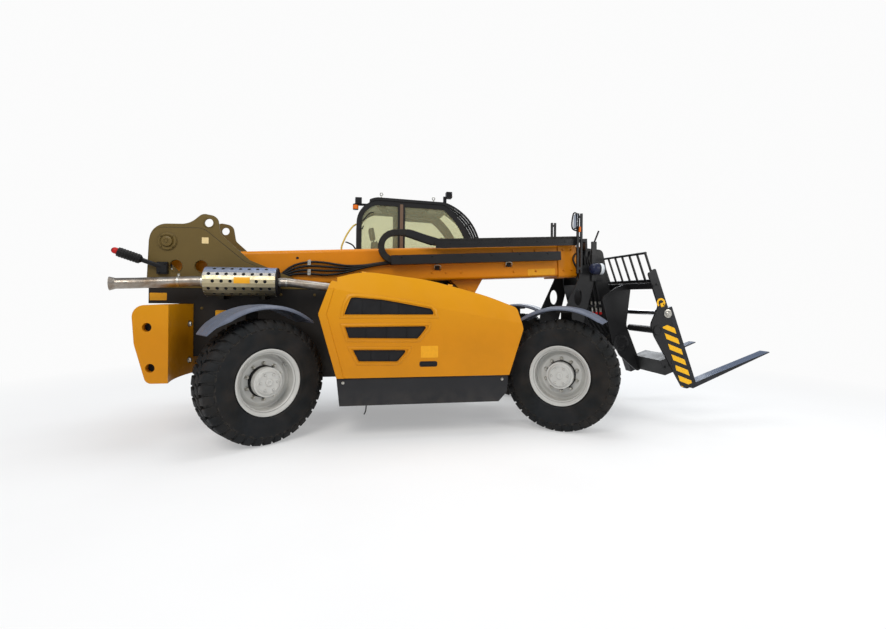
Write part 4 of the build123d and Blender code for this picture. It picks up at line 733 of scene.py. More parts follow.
def make_exhaust():
    """The shield's end band, rivets, a dark sheet inside it as painted shade, and blank plate, and the pipe's
    clamps and sleeve.
    """
    end = Piece("shield_end", "dark_plastic").add(on_exhaust(0.191), hoop(
        [(0.158, 0), (0.1665, 0.003), (0.1665, 0.016), (0.158, 0.019), (0.062, 0.019), (0.062, 0.0)], 48))
    clamps = Piece("exhaust_clamps", "zinc")
    for place in (on_exhaust(-0.873, 0.006), on_exhaust(-0.62)):
        clamps.add(place, hoop(CLAMP_BAND, 32))
        clamps.add(place @ shift(0, 0.075, 0), brick(0.02, 0.026, 0.026, 0.003))
        clamps.add(place @ shift(0.012, 0.078, 0) @ turn(pi / 2, "Y"), bolt(0.014))
    for x in (0.225, 0.3):
        clamps.add(on_exhaust(x, 0.002), hoop([(r * 0.835, z * 0.9) for r, z in CLAMP_BAND], 32))
    for i in range(RIVETS):
        y, z = cos(tau * i / RIVETS), sin(tau * i / RIVETS)
        for x in (-0.574, 0.18):
            rivet = facing(at(x, EXHAUST_Y + RIVET_R * y, EXHAUST_Z + RIVET_R * z), (0, y, z), (1, 0, 0))
            clamps.add(rivet, lathe([(0.006, -0.001), (0.006, 0.002), (0.003, 0.0035), (0, 0.0035)], 8))
    # A dark sheet inside the shield: painted shade of its hollow.
    shade_liner = Piece("muffler_shade_liner", "dark_plastic").add(on_exhaust(-0.572), hoop(
        [(0.156, 0.0), (0.1575, 0.0), (0.1575, 0.75), (0.156, 0.75)], 48))
    sleeve = Piece("exhaust_sleeves", "pipe_steel").add(on_exhaust(0.26), hoop(
        [(0.0503, -0.04), (0.053, -0.04), (0.053, 0.04), (0.0503, 0.04)], 32))
    arc = [(0.1675, a) for a in range(-16, 10, 3)] + [(0.1695, a) for a in range(8, -19, -3)]
    label = Piece("shield_label", "label_orange").add(on_exhaust(-0.252), prism(
        turn_left([(-r * cos(radians(a)), -r * sin(radians(a))) for r, a in arc]), 0.172))
    done(end, clamps, shade_liner, sleeve, label)


# -------- side and hood

BAY_REAR, BAY_LENGTH = 0.692, 2.363
HOOD_FACE = -1.15
VENTS = (  # corners as (share of the bay, height), from the rear lower one clockwise
    ((0.118, 1.402), (0.127, 1.52), (0.146, 1.594), (0.17, 1.601), (0.296, 1.576), (0.42, 1.53),
     (0.528, 1.482), (0.541, 1.446), (0.546, 1.404)),
    ((0.122, 1.269), (0.513, 1.278), (0.512, 1.258), (0.47, 1.139), (0.462, 1.131), (0.14, 1.142)),
    ((0.159, 1.015), (0.416, 1.008), (0.414, 0.99), (0.373, 0.881), (0.365, 0.874), (0.187, 0.881)))
VENT_FRAME = (  # drawn in by, height over the face
    (-0.04, 0.0), (-0.016, 0.011), (-0.009, 0.011), (0.004, -0.014), (0.004, -0.021), (-0.004, -0.021))
RIB_SPACING = 0.24


def bay(share, *more):
    """A place along the engine bay by its share of the length."""
    return (BAY_REAR + share * BAY_LENGTH, *more)


def make_hood():
    """Moulded frames round the openings, mesh ribs, beads along the edges, latch and blank plate."""
    face = Matrix.Translation(at(0, HOOD_FACE, 0)) @ wall(-1)
    frames, ribs = Piece("vent_frames", "yellow_paint", "hood"), Piece("vent_ribs", "dark_plastic", "hood")
    for vent in VENTS:
        outline = turn_left([bay(*corner) for corner in vent])
        frames.add(face, loft([[(x, z, h) for x, z in inset(outline, amount)] for amount, h in VENT_FRAME],
                              joined=True))
        rear, front = min(outline)[0], max(outline)[0]
        count = int((front - rear) / RIB_SPACING)
        for k in range(1, count + 1):
            x = rear + (front - rear) * k / (count + 1)
            low, high = span(inset(outline, 0.004), x)
            ribs.add(face @ shift(x, (low + high) / 2, -0.0195), brick(0.008, high - low, 0.006, 0.0015))
    outer = fillet([bay(0.086, 0.7, 0), bay(0, 1.412, 0.06), bay(0.043, 1.69, 0)], 8)
    inner = fillet([bay(0.118, 0.7, 0), bay(0.036, 1.412, 0.09), bay(0.07, 1.69, 0)], 8)
    edge = Piece("hood_edges", "yellow_paint", "hood").add(face, loft(
        [[(ax, az, 0), (ax + 0.002, az, 0.002), (bx, bz, 0.011), (bx + 0.01, bz, 0)]
         for (ax, az), (bx, bz) in zip(outer, inner)]))
    latch = Piece("hood_handle", "dark_plastic", "hood")
    latch.add(face @ shift(1.918, 0.846, 0.0), plate(0.205, 0.062, 0.02, 0.003, 0.001))
    latch.add(face @ shift(1.905, 0.846, 0.003), plate(0.135, 0.03, 0.014, 0.012, 0.003))
    latch.add(face @ shift(1.985, 0.846, 0.003), lathe(
        [(0.021, 0), (0.021, 0.008), (0.016, 0.012), (0.006, 0.012), (0.005, 0.008), (0, 0.008)]))
    label = Piece("hood_plate", "label_yellow", "hood").add(
        face @ shift(1.93, 0.985, 0.0), plate(0.2, 0.135, 0.012, PLATE_T))
    done(frames, ribs, edge, latch, label)


def make_skirts():
    """Bolts and drain hose of the side skirt; cap, straps and step ribs of the left side's tank."""
    bolts = Piece("side_bolts", "zinc")
    for x, z in ((0.966, 0.648), (2.8, 0.65)):
        for side in SIDES:
            bolts.add(beside(side, x, 1.13, z), bolt(0.026))
    drain = Piece("drain_hose", "hose_rubber").bar(
        [(1.224, -1.09, 0.395), (1.222, -1.092, 0.35), (1.214, -1.094, 0.31), (1.2, -1.095, 0.285)], 0.007)
    tank = Piece("tank_fittings", "black_steel").add(beside(1, 1.15, 1.13, 0.7), lathe(
        [(0.062, 0), (0.062, 0.012), (0.05, 0.016), (0.05, 0.034), (0.044, 0.04), (0, 0.04)], 28))
    for x in (0.99, 1.7):
        tank.add(beside(1, x, 1.131, 0.6), plate(0.05, 0.36, 0.006, 0.004, 0.001))
    for z in (0.43, 0.64):
        for k in range(6):
            rib = Matrix.Translation(at(2.22, 0.97 + k * 0.028, z + 0.003))
            tank.add(rib, brick(0.44, 0.009, 0.006, 0.0015))
    done(bolts, drain, tank)


# -------- boom

BOOM_SIDE, TRAY_SIDE = 0.25, 0.392
HOSE_COUNT = 4
HOSE_ROUTE = (  # x, z of the top hose, and of the lowest one
    (0.1, 1.8, 0.1, 1.77), (0.185, 1.873, 0.185, 1.83), (0.329, 1.985, 0.35, 1.88),
    (0.523, 2.035, 0.523, 1.887), (0.7, 2.033, 0.757, 1.878), (0.968, 2.0, 0.968, 1.912),
    (1.183, 2.006, 1.157, 1.965), (1.361, 2.034, 1.361, 2.012), (1.52, 2.055, 1.52, 2.035),
    (1.64, 2.062, 1.64, 2.05))


def on_boom(side, x, y, z):
    """Axes so far out on one side of the boom, at x and z of its own axes, z to that side."""
    return BOOM @ shift(x, side * y, z) @ outward(side)


def make_boom_hoses():
    """Four hoses clipped to the boom's side, from the towers to the tray, and five over its foot."""
    hoses = Piece("boom_hoses", "hose_rubber", "boom")
    for k in range(HOSE_COUNT):
        share = k / (HOSE_COUNT - 1)
        line = []
        for i, (x0, z0, x1, z1) in enumerate(HOSE_ROUTE):
            close = min(1.0, max(0.0, (i - 5) / 4))
            y = -0.283 - 0.02 * close * (k % 2) - 0.015 * close - (0.012 if i < 2 else 0)
            line.append((x0 + (x1 - x0) * share, y, z0 + (z1 - z0) * share))
        hoses.bar(line, 0.0145, 12)
    clips = Piece("hose_clips", "zinc", "boom")
    for x, high, low in ((0.523, 2.06, 1.995), (0.523, 1.945, 1.868)):
        clips.add(beside(-1, x, 0.2985, (high + low) / 2), plate(0.04, high - low, 0.006, 0.006, 0.0015))
        clips.add(beside(-1, x, 0.3045, (high + low) / 2), bolt(0.016))
    foot = Piece("boom_foot_hoses", "hose_rubber", "boom")
    for k, y in enumerate((-0.15, -0.09, -0.03, 0.05, 0.11)):
        rise = 0.012 * (k % 2)
        line = ((0.3, -0.28), (0.31, -0.08), (0.345, 0.075 + rise), (0.4, 0.125 + rise), (0.47, 0.075 + rise),
                (0.53, 0.0), (0.58, -0.065), (0.63, -0.105))
        foot.add(HERE, sweep(smooth([BOOM @ Vector((x, y, z)) for x, z in line]), 0.0165, 12))
    foot.add(BOOM @ shift(0.64, -0.02, -0.095), brick(0.1, 0.34, 0.045, 0.006))
    done(hoses, clips, foot)


def make_boom_trim():
    """Hooks, slide pads' bolts, tray bolts, a grease point and blank plates on the boom."""
    hooks, dark = Piece("boom_hooks", "zinc", "boom"), Piece("boom_dark_parts", "dark_plastic", "boom")
    bolts, tray = Piece("boom_bolts", "boom_paint", "boom"), Piece("tray_bolts", "black_steel", "boom")
    plates = Piece("boom_plates", "label_yellow", "boom", "boom_paint")
    half = [(0.042, -0.035, -0.002), (0.042, -0.01, 0.022), (0.038, 0.025, 0.034)]
    hook = smooth([(-x, y, z) for x, y, z in half] + [(0, 0.034, 0.036)] + half[::-1])
    for x, z in ((2.167, 1.999), (3.157, 2.062)):
        place = beside(-1, x, BOOM_SIDE, z)
        hooks.add(place, sweep(hook, 0.006, 8))
        dark.add(place @ shift(0, -0.006, 0.012), brick(0.058, 0.052, 0.024, 0.004))
    for x, z in ((2.102, 1.928), (2.291, 1.931), (2.497, 1.935)):
        bolts.add(beside(-1, x, BOOM_SIDE, z), bolt(0.016))
    dark.add(beside(-1, 0.374, BOOM_SIDE, 2.086),
             lathe([(0.017, 0), (0.017, 0.002), (0.012, 0.003), (0, 0.003)], 20))
    for side in SIDES:
        for x, y in ((4.3, 0.25), (4.62, 0.25), (5.02, 0.272), (5.14, 0.272)):
            for z in (-0.2, -0.48):
                bolts.add(on_boom(side, x, y, z), bolt(0.026))
        plates.add(beside(side, 3.64, BOOM_SIDE, 1.97) @ turn(-side * BOOM_RISE),
                   plate(0.4, 0.088, 0.012, PLATE_T))
    for x in (5.0, 5.16):
        for y in (-0.16, 0.16):
            bolts.add(BOOM @ shift(x, y, -0.098), bolt(0.026))
    for x in (2.75, 3.15, 3.55, 3.95, 4.35, 4.75):
        tray.add(on_boom(-1, x, TRAY_SIDE, -0.25), bolt(0.018))
    done(hooks, dark, bolts, plates, tray)


CHAIN_LOW, CHAIN_HIGH, CHAIN_BEND_X = -0.2895, 0.0695, 2.675
CHAIN_MIDDLE, CHAIN_RADIUS = (CHAIN_LOW + CHAIN_HIGH) / 2, (CHAIN_HIGH - CHAIN_LOW) / 2
BEND_LINKS = 11
CHAIN_STEP = pi * CHAIN_RADIUS / BEND_LINKS
CHAIN_Y, CHAIN_HALF = -0.327, 0.04
SLOPE_END = 3.2  # where the links have come down to their full lowness on the rail
LINK = ((-0.72, -1.0), (0.72, -1.0), (1.0, -0.6), (1.0, 0.6), (0.72, 1.0), (-0.72, 1.0), (-1.0, 0.6),
        (-1.0, -0.6))  # a link plate's corners, as shares of its half length and half height


def chain_route():
    """The hose chain's middle line in the boom's axes, as (x, z), at every link."""
    route = [(CHAIN_BEND_X + CHAIN_STEP * k, CHAIN_LOW) for k in range(8, 0, -1)]
    for k in range(BEND_LINKS + 1):
        a = pi * k / BEND_LINKS
        route.append((CHAIN_BEND_X - CHAIN_RADIUS * sin(a), CHAIN_MIDDLE - CHAIN_RADIUS * cos(a)))
    knots = [Vector(knot) for knot in (
        (CHAIN_BEND_X, CHAIN_HIGH), (2.855, CHAIN_HIGH), (3.23, -0.0407), (5.23, -0.0407))]
    left = CHAIN_STEP
    for a, b in zip(knots, knots[1:]):
        length = (b - a).length
        while left <= length:
            route.append(tuple(a + (b - a) * (left / length)))
            left += CHAIN_STEP
        left -= length
    return route


def make_chain():
    """Hose chain of link plates, cross bars and the hoses they carry, and the plates beside its slope."""
    route = chain_route()
    links = Piece("hose_chain", "chain_nylon", "chain")
    for i, ((x0, z0), (x1, z1)) in enumerate(zip(route, route[1:])):
        x = (x0 + x1) / 2
        link = BOOM @ shift(x, CHAIN_Y, (z0 + z1) / 2) @ turn(-atan2(z1 - z0, x1 - x0), "Y")
        half, tall = CHAIN_STEP * 0.64, 0.0188 + 0.0212 * min(1.0, max(0.0, (SLOPE_END - x) / 0.3))
        outline = [(half * c, s * tall) for c, s in LINK]
        out = CHAIN_HALF if i % 2 else CHAIN_HALF + 0.0045
        for side in SIDES:
            links.add(link @ shift(0, side * out + 0.0025, 0) @ outward(-1), prism(outline, 0.005, 0.001))
            links.add(link @ shift(CHAIN_STEP / 2, side * (CHAIN_HALF + 0.009), 0) @ outward(side),
                      lathe([(0.0075, -0.004), (0.0075, 0.0), (0.005, 0.0015), (0, 0.0015)], 10))
        for z in (-0.86 * tall, 0.86 * tall):
            links.add(link @ shift(0, 0, z), brick(0.02, 2 * CHAIN_HALF, 0.005, 0.001))
    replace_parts(links.done(), "chain_loop")
    slope = turn_left([(2.84, 0.108), (3.252, -0.024), (3.262, -0.098), (3.15, -0.098), (2.8, 0.028)])
    plates = Piece("chain_slope_plate", "black_steel", "chain")
    for side in SIDES:
        place = BOOM @ shift(0, CHAIN_Y + side * (CHAIN_HALF + 0.011), 0) @ outward(-1)
        plates.add(place, prism(slope, 0.005, 0.001))
    hoses = Piece("chain_hoses", "hose_rubber", "chain")
    for y in (-0.024, -0.008, 0.009, 0.025):
        hoses.add(HERE, sweep([BOOM @ Vector((x, CHAIN_Y + y, z)) for x, z in route], 0.0072, 8))
    done(plates, hoses)


HEAD_HOSE_Y = -0.275


def make_boom_head():
    """Hoses down the gooseneck's right side to three couplers with red caps, its caps, bolts and nipple."""
    hoses, wraps, steel, red = (Piece(name, finish, "boom_slide") for name, finish in (
        ("head_hoses", "hose_rubber"), ("head_hose_wraps", "dark_plastic"), ("couplers", "zinc"),
        ("coupler_caps", "red_plastic")))
    y = HEAD_HOSE_Y
    for k in range(3):
        x = 4.355 + 0.062 * k
        line = smooth([at(4.27 + 0.02 * k, y, 2.2), at(4.28 + 0.04 * k, y - 0.012, 2.05),
                       at(4.31 + 0.05 * k, y - 0.01, 1.9), at(x - 0.03, y - 0.012, 1.75),
                       at(x, y - 0.016, 1.62), at(x + 0.012, y - 0.018, 1.555)], 8)
        hoses.add(HERE, sweep(line, 0.0145, 12))
        wraps.add(HERE, sweep(line[6:30], 0.0175, 10, lambda i: 1.0 if i % 2 else 0.86))
        place = facing(at(x + 0.012, y - 0.018, 1.555), (0.13, 0, -1), (0, 1, 0))
        steel.add(place, lathe([(0.0165, -0.01), (0.0165, 0.03), (0.012, 0.034), (0.012, 0.05), (0.02, 0.054),
                                (0.02, 0.115), (0.016, 0.12), (0.016, 0.14), (0, 0.14)], 20),
                  lathe([(0.022, 0.066), (0.022, 0.082), (0.0205, 0.084), (0.0205, 0.064)], 6))
        red.add(place, lathe([(0.0205, 0.138), (0.0215, 0.142), (0.0215, 0.168), (0.017, 0.174),
                              (0, 0.174)], 20))
    for x, bulge in ((4.18, 0.06), (4.23, 0.03), (4.29, 0.0), (4.36, -0.03), (4.24, 0.045)):
        hoses.bar([(x, y + 0.02, 2.28), (x - 0.03 - bulge, y - 0.014, 2.16), (x - 0.02, y - 0.024, 2.0),
                   (x + 0.05 + bulge, y - 0.014, 1.8), (x + 0.06, y - 0.012, 1.6),
                   (x + 0.12, y - 0.008, 1.42), (x + 0.24, y, 1.24), (x + 0.33, y + 0.01, 1.12)], 0.0125, 10)
    for x, z in ((4.42, 1.5), (4.36, 1.86)):
        wraps.add(beside(-1, x, 0.018 - y, z), plate(0.3, 0.035, 0.008, 0.028, 0.004))
        steel.add(beside(-1, x, 0.046 - y, z), bolt(0.018))
    for side in SIDES:
        pin = beside(side, 4.7, 0.3, 1.0)
        steel.add(pin, lathe([(0.052, 0.0), (0.052, 0.003), (0.046, 0.005), (0, 0.005)], 36))
        steel.around(pin, 6, 0.073, 0, bolt(0.017))
    steel.add(facing(at(4.735, -0.18, 0.865), (0, 0, -1), (0, 1, 0)), lathe(
        [(0.022, -0.02), (0.022, 0.012), (0.012, 0.016), (0.012, 0.035), (0.018, 0.038), (0.018, 0.05),
         (0, 0.052)], 14))
    skirt = Piece("rail_skirt", "black_steel", "boom_slide").add(
        BOOM @ shift(4.2, -0.3885, -0.1265), brick(2.0, 0.006, 0.044, 0.0015))
    rail = Piece("rail_bolts", "black_steel", "boom_slide")
    for x in (3.4, 3.8, 4.2, 4.6, 5.0):
        rail.add(on_boom(-1, x, TRAY_SIDE, -0.083), bolt(0.014))
    done(hoses, wraps, steel, red, skirt, rail)


# -------- carriage and lamps

PLATE_Y, INNER_PLATE_Y = 1.1, 0.505  # outer faces of the carriage's plates
STRIPE_LOW, STRIPE_HIGH, STRIPE_PITCH, STRIPE_T, STRIPE_FALL = -0.655, 0.165, 0.143, 0.079, 0.132
STRIPE_REAR, STRIPE_FRONT = 0.295, 0.449
STRIPE_COUNT = 7
SHAFT = (0.42, 0.3)


def on_carriage(side, x, z, y=PLATE_Y):
    """Axes on the outer face of a carriage plate, z to that side."""
    return CARRIAGE @ shift(x, side * y, z) @ outward(side)


def hazard_stripe(number):
    """One stripe falling forward across the plate, cut off where the row of stripes ends, or nothing."""
    top = STRIPE_HIGH + 0.06 - number * STRIPE_PITCH
    stripe = clip([(STRIPE_REAR, top), (STRIPE_FRONT, top - STRIPE_FALL),
                   (STRIPE_FRONT, top - STRIPE_FALL - STRIPE_T), (STRIPE_REAR, top - STRIPE_T)],
                  STRIPE_LOW, STRIPE_HIGH)
    return [prism(turn_left(stripe), PLATE_T)] if len(stripe) > 2 else []


def make_carriage():
    """Hazard stripes down the outer plates, the hook mark, shaft ends, bosses and bolts."""
    stripes, marks, steel, dark, forks = (Piece(name, finish, "carriage") for name, finish in (
        ("hazard_stripes", "stripe_yellow"), ("lifting_marks", "stripe_yellow"), ("carriage_caps", "zinc"),
        ("carriage_bosses", "black_steel"), ("fork_marks", "zinc")))
    hook = [(0.06 * cos(radians(a)), 0.06 * sin(radians(a))) for a in range(-60, 211, 18)]
    hook += [(0.036 * cos(radians(a)), 0.036 * sin(radians(a))) for a in range(210, -61, -18)]
    for side in SIDES:
        flat = CARRIAGE @ shift(0, side * PLATE_Y, 0) @ wall(side)
        for number in range(STRIPE_COUNT):
            stripes.add(flat, *hazard_stripe(number))
        marks.add(flat @ shift(0.375, 0.46, 0), prism(turn_left(hook), PLATE_T))
        marks.add(flat @ shift(0.385, 0.43, 0), plate(0.05, 0.05, 0.008, PLATE_T))
        steel.add(on_carriage(side, *SHAFT, 1.13), lathe(
            [(0.035, -0.012), (0.035, 0.0), (0.029, 0.005), (0.012, 0.005), (0.01, 0.001), (0, 0.001)], 32))
        steel.add(on_carriage(side, *SHAFT), lathe(
            [(0.054, 0.0), (0.054, 0.006), (0.048, 0.009), (0.036, 0.009)], 32))
        dark.add(on_carriage(side, 0.215, 0.15), lathe(
            [(0.06, 0.0), (0.06, 0.012), (0.054, 0.016), (0.044, 0.016), (0.042, 0.01), (0, 0.01)], 36))
        dark.add(on_carriage(side, 0.28, -0.33), plate(0.045, 0.1, 0.02, 0.004, 0.001))
        for x, z in ((0.345, 0.7), (0.395, 0.7), (0.17, -0.33), (0.24, -0.33)):
            dark.add(on_carriage(side, x, z), bolt(0.024))
        dark.add(on_carriage(side, 0, 0, INNER_PLATE_Y), lathe(
            [(0.112, -0.001), (0.112, 0.01), (0.104, 0.014), (0.06, 0.014), (0.056, 0.008), (0, 0.008)], 40))
        dark.around(on_carriage(side, 0, 0, INNER_PLATE_Y), 8, 0.083, 0.014, bolt(0.018))
    for y in (-1.0, 0.4):
        for off in (-0.04, 0.04):
            forks.add(CARRIAGE @ shift(0.523, y + off, 0.335) @ turn(pi / 2, "Y"), bolt(0.024))
    done(stripes, marks, steel, dark, forks)


MARKER_RIBS = 15


def make_lamps():
    """Lenses, bezels, the beacon and side lamps, the markers' rubber, and the right side's mirror."""
    lens, bezel = Piece("lamp_lenses", "lens_white"), Piece("lamp_bezels", "dark_plastic")
    red, amber = Piece("marker_lenses", "red_plastic"), Piece("amber_lamps", "amber_plastic")
    rubber, mirror = Piece("marker_rubber", "hose_rubber"), Piece("mirror_faces", "mirror")
    for side in SIDES:
        front = ahead(4.395, side * 0.535, 2.01)
        bezel.add(front, hoop([(0.0755, -0.064), (0.079, -0.062), (0.0795, -0.05), (0.0755, -0.046)], 40))
        lens.add(front, lathe([(0.0752, -0.05), (0.0768, -0.044), (0.0765, -0.006), (0.07, 0.006),
                               (0.058, 0.013), (0.035, 0.019), (0, 0.021)], 40))
        amber.add(beside(side, 4.1, 0.4505, 2.55), plate(0.03, 0.075, 0.01, 0.022, 0.005))
        red.add(facing(at(-1.566, side * 0.5645, 2.0995), (-0.97, side * 0.2, 0.33)), lathe(
            [(0.0345, -0.03), (0.036, -0.02), (0.0355, 0.008), (0.03, 0.022), (0.018, 0.031),
             (0, 0.0345)], 28))
        foot, tip = at(-1.335, side * 0.509, 2.012), at(-1.535, side * 0.559, 2.086)
        length = (tip - foot).length
        rings = [(0, -0.025), (0.03, -0.025), (0.05, -0.004)]
        for k in range(MARKER_RIBS):
            r, z = 0.0525 + 0.0035 * (k % 2), length * k / MARKER_RIBS
            rings += [(r, z), (r, z + 0.01)]
        rubber.add(facing(foot, tip - foot), lathe(rings + [(0.045, length), (0, length)]))
        bezel.add(beside(side, -1.12, 0.4535, 1.92), plate(0.1, 0.12, 0.012, 0.006, 0.002))
        for x, z in ((-1.15, 1.87), (-1.09, 1.97)):
            bezel.add(beside(side, x, 0.4595, z), bolt(0.018))
        if side < 0:
            bezel.bar([(4.075, -0.43, 2.765), (4.035, -0.445, 2.775), (4.005, -0.455, 2.745),
                       (3.985, -0.46, 2.62), (4.0, -0.46, 2.55), (4.07, -0.44, 2.53)], 0.01)
            back = facing(at(4.035, -0.47, 2.655), (-0.95, -0.2, 0.05))
            bezel.add(back @ shift(0, 0, -0.028), plate(0.1, 0.21, 0.03, 0.03, 0.008))
            mirror.add(back @ shift(0, 0, 0.0022), plate(0.086, 0.196, 0.025, 0.001))
    for y in (0.35, 1.14):
        lens.add(ahead(2.478, y, 3.096) @ shift(0, 0, -0.001), plate(0.082, 0.074, 0.012, 0.006, 0.002))
    rear = facing(at(1.09, 0.345, 2.957), BACK)
    lens.add(rear @ shift(0, 0, -0.001), plate(0.074, 0.074, 0.012, 0.006, 0.002))
    amber.add(Matrix.Translation(at(1.095, 0.345, 2.832)), hoop(
        [(0.0385, 0.008), (0.0395, 0.012), (0.0395, 0.06), (0.036, 0.072), (0.03, 0.0725)], 28))
    done(lens, bezel, red, amber, rubber, mirror)


# -------- cab


def make_cab():
    """Eye bolts, pillar strip, visor, wipers, grab rail, mounts, rear mirror's arm and door handle."""
    eyes = Piece("cab_eye_bolts", "zinc")
    for y in (0.39, 1.1):
        for x, z in ((1.459, 3.015), (2.218, 2.985)):
            eyes.add(Matrix.Translation(at(x, y, z)), lathe(
                [(0.02, -0.01), (0.02, 0.008), (0.01, 0.012), (0.01, 0.045), (0, 0.045)], 16))
            eyes.add(HERE, sweep([at(x + 0.02 * cos(tau * k / 16), y, z + 0.062 + 0.02 * sin(tau * k / 16))
                                  for k in range(17)], 0.0065, 8))
    strip = Piece("pillar_strips", "pillar_strip").add(
        facing(at(1.74, 0.29, 2.415), RIGHT), plate(0.045, 1.02, 0.004, 0.004, 0.001))
    trim = Piece("cab_trim", "dark_plastic")
    visor = [(1.395, 2.965), (1.515, 2.965), (1.53, 2.905), (1.6, 2.79), (1.56, 2.775), (1.46, 2.84),
             (1.41, 2.905)]
    trim.add(facing(at(0, 0.5, 0), RIGHT), prism(turn_left(visor), 0.022, 0.006))
    for wiper in (((1.165, 2.665), (1.205, 2.68), (1.255, 2.745), (1.3, 2.785), (1.345, 2.79)),
                  ((1.15, 2.545), (1.185, 2.555), (1.205, 2.6))):
        trim.bar([(x, 0.272, z) for x, z in wiper], 0.008)
    dash = [(2.36, 2.16), (2.68, 2.16), (2.655, 2.37), (2.5, 2.44), (2.36, 2.5), (2.335, 2.49)]
    trim.add(facing(at(0, 0.52, 0), RIGHT), prism(turn_left(dash), 0.03, 0.01))
    for y in (0.55, 0.95):
        trim.bar([(2.79, y, 2.02), (2.795, y + 0.02, 2.16), (2.775, y + 0.05, 2.33),
                  (2.74, y + 0.07, 2.42)], 0.007)
    rail = ((1.215, 1.9), (1.245, 1.93), (1.25, 2.2), (1.25, 2.5), (1.215, 2.53))
    trim.bar([(1.73, y, z) for y, z in rail], 0.012, 10)
    for x in (1.23, 2.6):
        for y in (0.46, 1.08):
            trim.add(Matrix.Translation(at(x, y, 1.276)), hoop(
                [(0.05, 0), (0.056, 0.004), (0.056, 0.01), (0.046, 0.014), (0.046, 0.022)], 24))
    arm = Piece("mirror_arm", "arm_yellow").bar(
        [(1.105, 0.36, 2.63), (1.05, 0.345, 2.585), (0.98, 0.33, 2.48), (0.93, 0.32, 2.37),
         (0.905, 0.315, 2.29), (0.91, 0.32, 2.2)], 0.012, 10)
    stay = Piece("mirror_stay", "dark_plastic").bar(
        [(1.105, 0.4, 2.27), (1.06, 0.37, 2.33), (1.0, 0.35, 2.36), (0.96, 0.335, 2.37)], 0.01, 10)
    handle = Piece("door_handle", "dark_plastic", "door")
    handle.add(beside(1, 2.6, 1.198, 1.8), plate(0.16, 0.045, 0.02, 0.006, 0.002))
    handle.add(beside(1, 2.6, 1.204, 1.8), plate(0.11, 0.022, 0.01, 0.022, 0.005))
    done(eyes, strip, trim, arm, stay, handle)


def pad(name, place, width, length, depth, crown, channels):
    """A foam pad: crowned on top, its sides drawn in, with sewn channels across it."""
    mesh = bpy.data.meshes.new(name)
    build = bmesh.new()
    bmesh.ops.create_cube(build, size=1.0)
    bmesh.ops.subdivide_edges(build, edges=build.edges[:], cuts=23, use_grid_fill=True)
    for vert in build.verts:
        u, v, w = (2 * c for c in vert.co)
        squeeze = 1 - 0.055 * (1 - w * w) - 0.05 * abs(v) ** 6
        pull = 1 - 0.055 * (1 - w * w) - 0.05 * abs(u) ** 6
        top = 1 + crown * (1 - u ** 4) * (1 - v ** 4) * (0.5 + 0.5 * w)
        for channel in channels:
            top -= 0.09 * max(0.0, 1 - abs(u - channel) / 0.05) ** 1.5 * (w > 0) * (1 - abs(v) ** 8)
        high = w * (1 - 0.28 * max(abs(u), abs(v)) ** 8) * top
        vert.co = Vector((u * length / 2 * squeeze, v * width / 2 * pull, high * depth / 2))
    build.to_mesh(mesh)
    build.free()
    mesh.materials.append(MATERIALS["seat_fabric"])
    mesh.polygons.foreach_set("use_smooth", [True] * len(mesh.polygons))
    piece = put(name, mesh, "chassis", place)
    return piece


CAB_FLOOR, SEAT_X, SEAT_Y, SEAT_HEIGHT = 1.345, 1.44, 0.745, 0.49


def make_seat():
    """Padded cushion, back and headrest on a bellows base, with arm rests."""
    x, y, top = SEAT_X, SEAT_Y, CAB_FLOOR + SEAT_HEIGHT
    lean = turn(radians(-101), "Y")

    def seat_at(dx, dy, z):
        return Matrix.Translation(at(x + dx, y + dy, z))

    cushion = pad("seat_cushion", seat_at(0.26, 0, top - 0.065), 0.49, 0.51, 0.115, 0.16, (-0.3, 0.3))
    pad("seat_back", seat_at(-0.012, 0, top + 0.29) @ lean, 0.47, 0.62, 0.1, 0.2, (-0.45, 0.0, 0.45))
    pad("seat_headrest", seat_at(-0.098, 0, top + 0.705) @ lean, 0.25, 0.18, 0.075, 0.15, ())
    base = Piece("seat_base", "dark_plastic")
    base.add(seat_at(0.26, 0, (CAB_FLOOR + top - 0.13) / 2), brick(0.38, 0.3, top - 0.13 - CAB_FLOOR, 0.02))
    for k in range(5):
        base.add(seat_at(0.26, 0, CAB_FLOOR + 0.09 + k * 0.045), brick(0.4, 0.32, 0.022, 0.008))
    base.add(seat_at(-0.01, 0, top - 0.02) @ lean, brick(0.16, 0.2, 0.03, 0.008))
    for dy in (-0.27, 0.27):
        base.add(seat_at(0.12, dy, top + 0.2), brick(0.3, 0.05, 0.04, 0.015))
    for dy in (-0.05, 0.05):
        base.add(seat_at(-0.078, dy, top + 0.625) @ lean, brick(0.1, 0.012, 0.012, 0.004))
    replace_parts(cushion, "seat")
    base.done()


# -------- stage, light and camera

BACKDROP = 0.97  # how bright the camera sees the sky and the far floor
FLOOR_REACH, FLOOR_FADE = 60.0, (2.5, 8.5)  # half its width, and where it blends into the backdrop
SENSOR, LENS, EYE, PAN, ROLL = 36.0, 19.5, (1.06, -6.55, 1.61), radians(-10.7), radians(0.52)


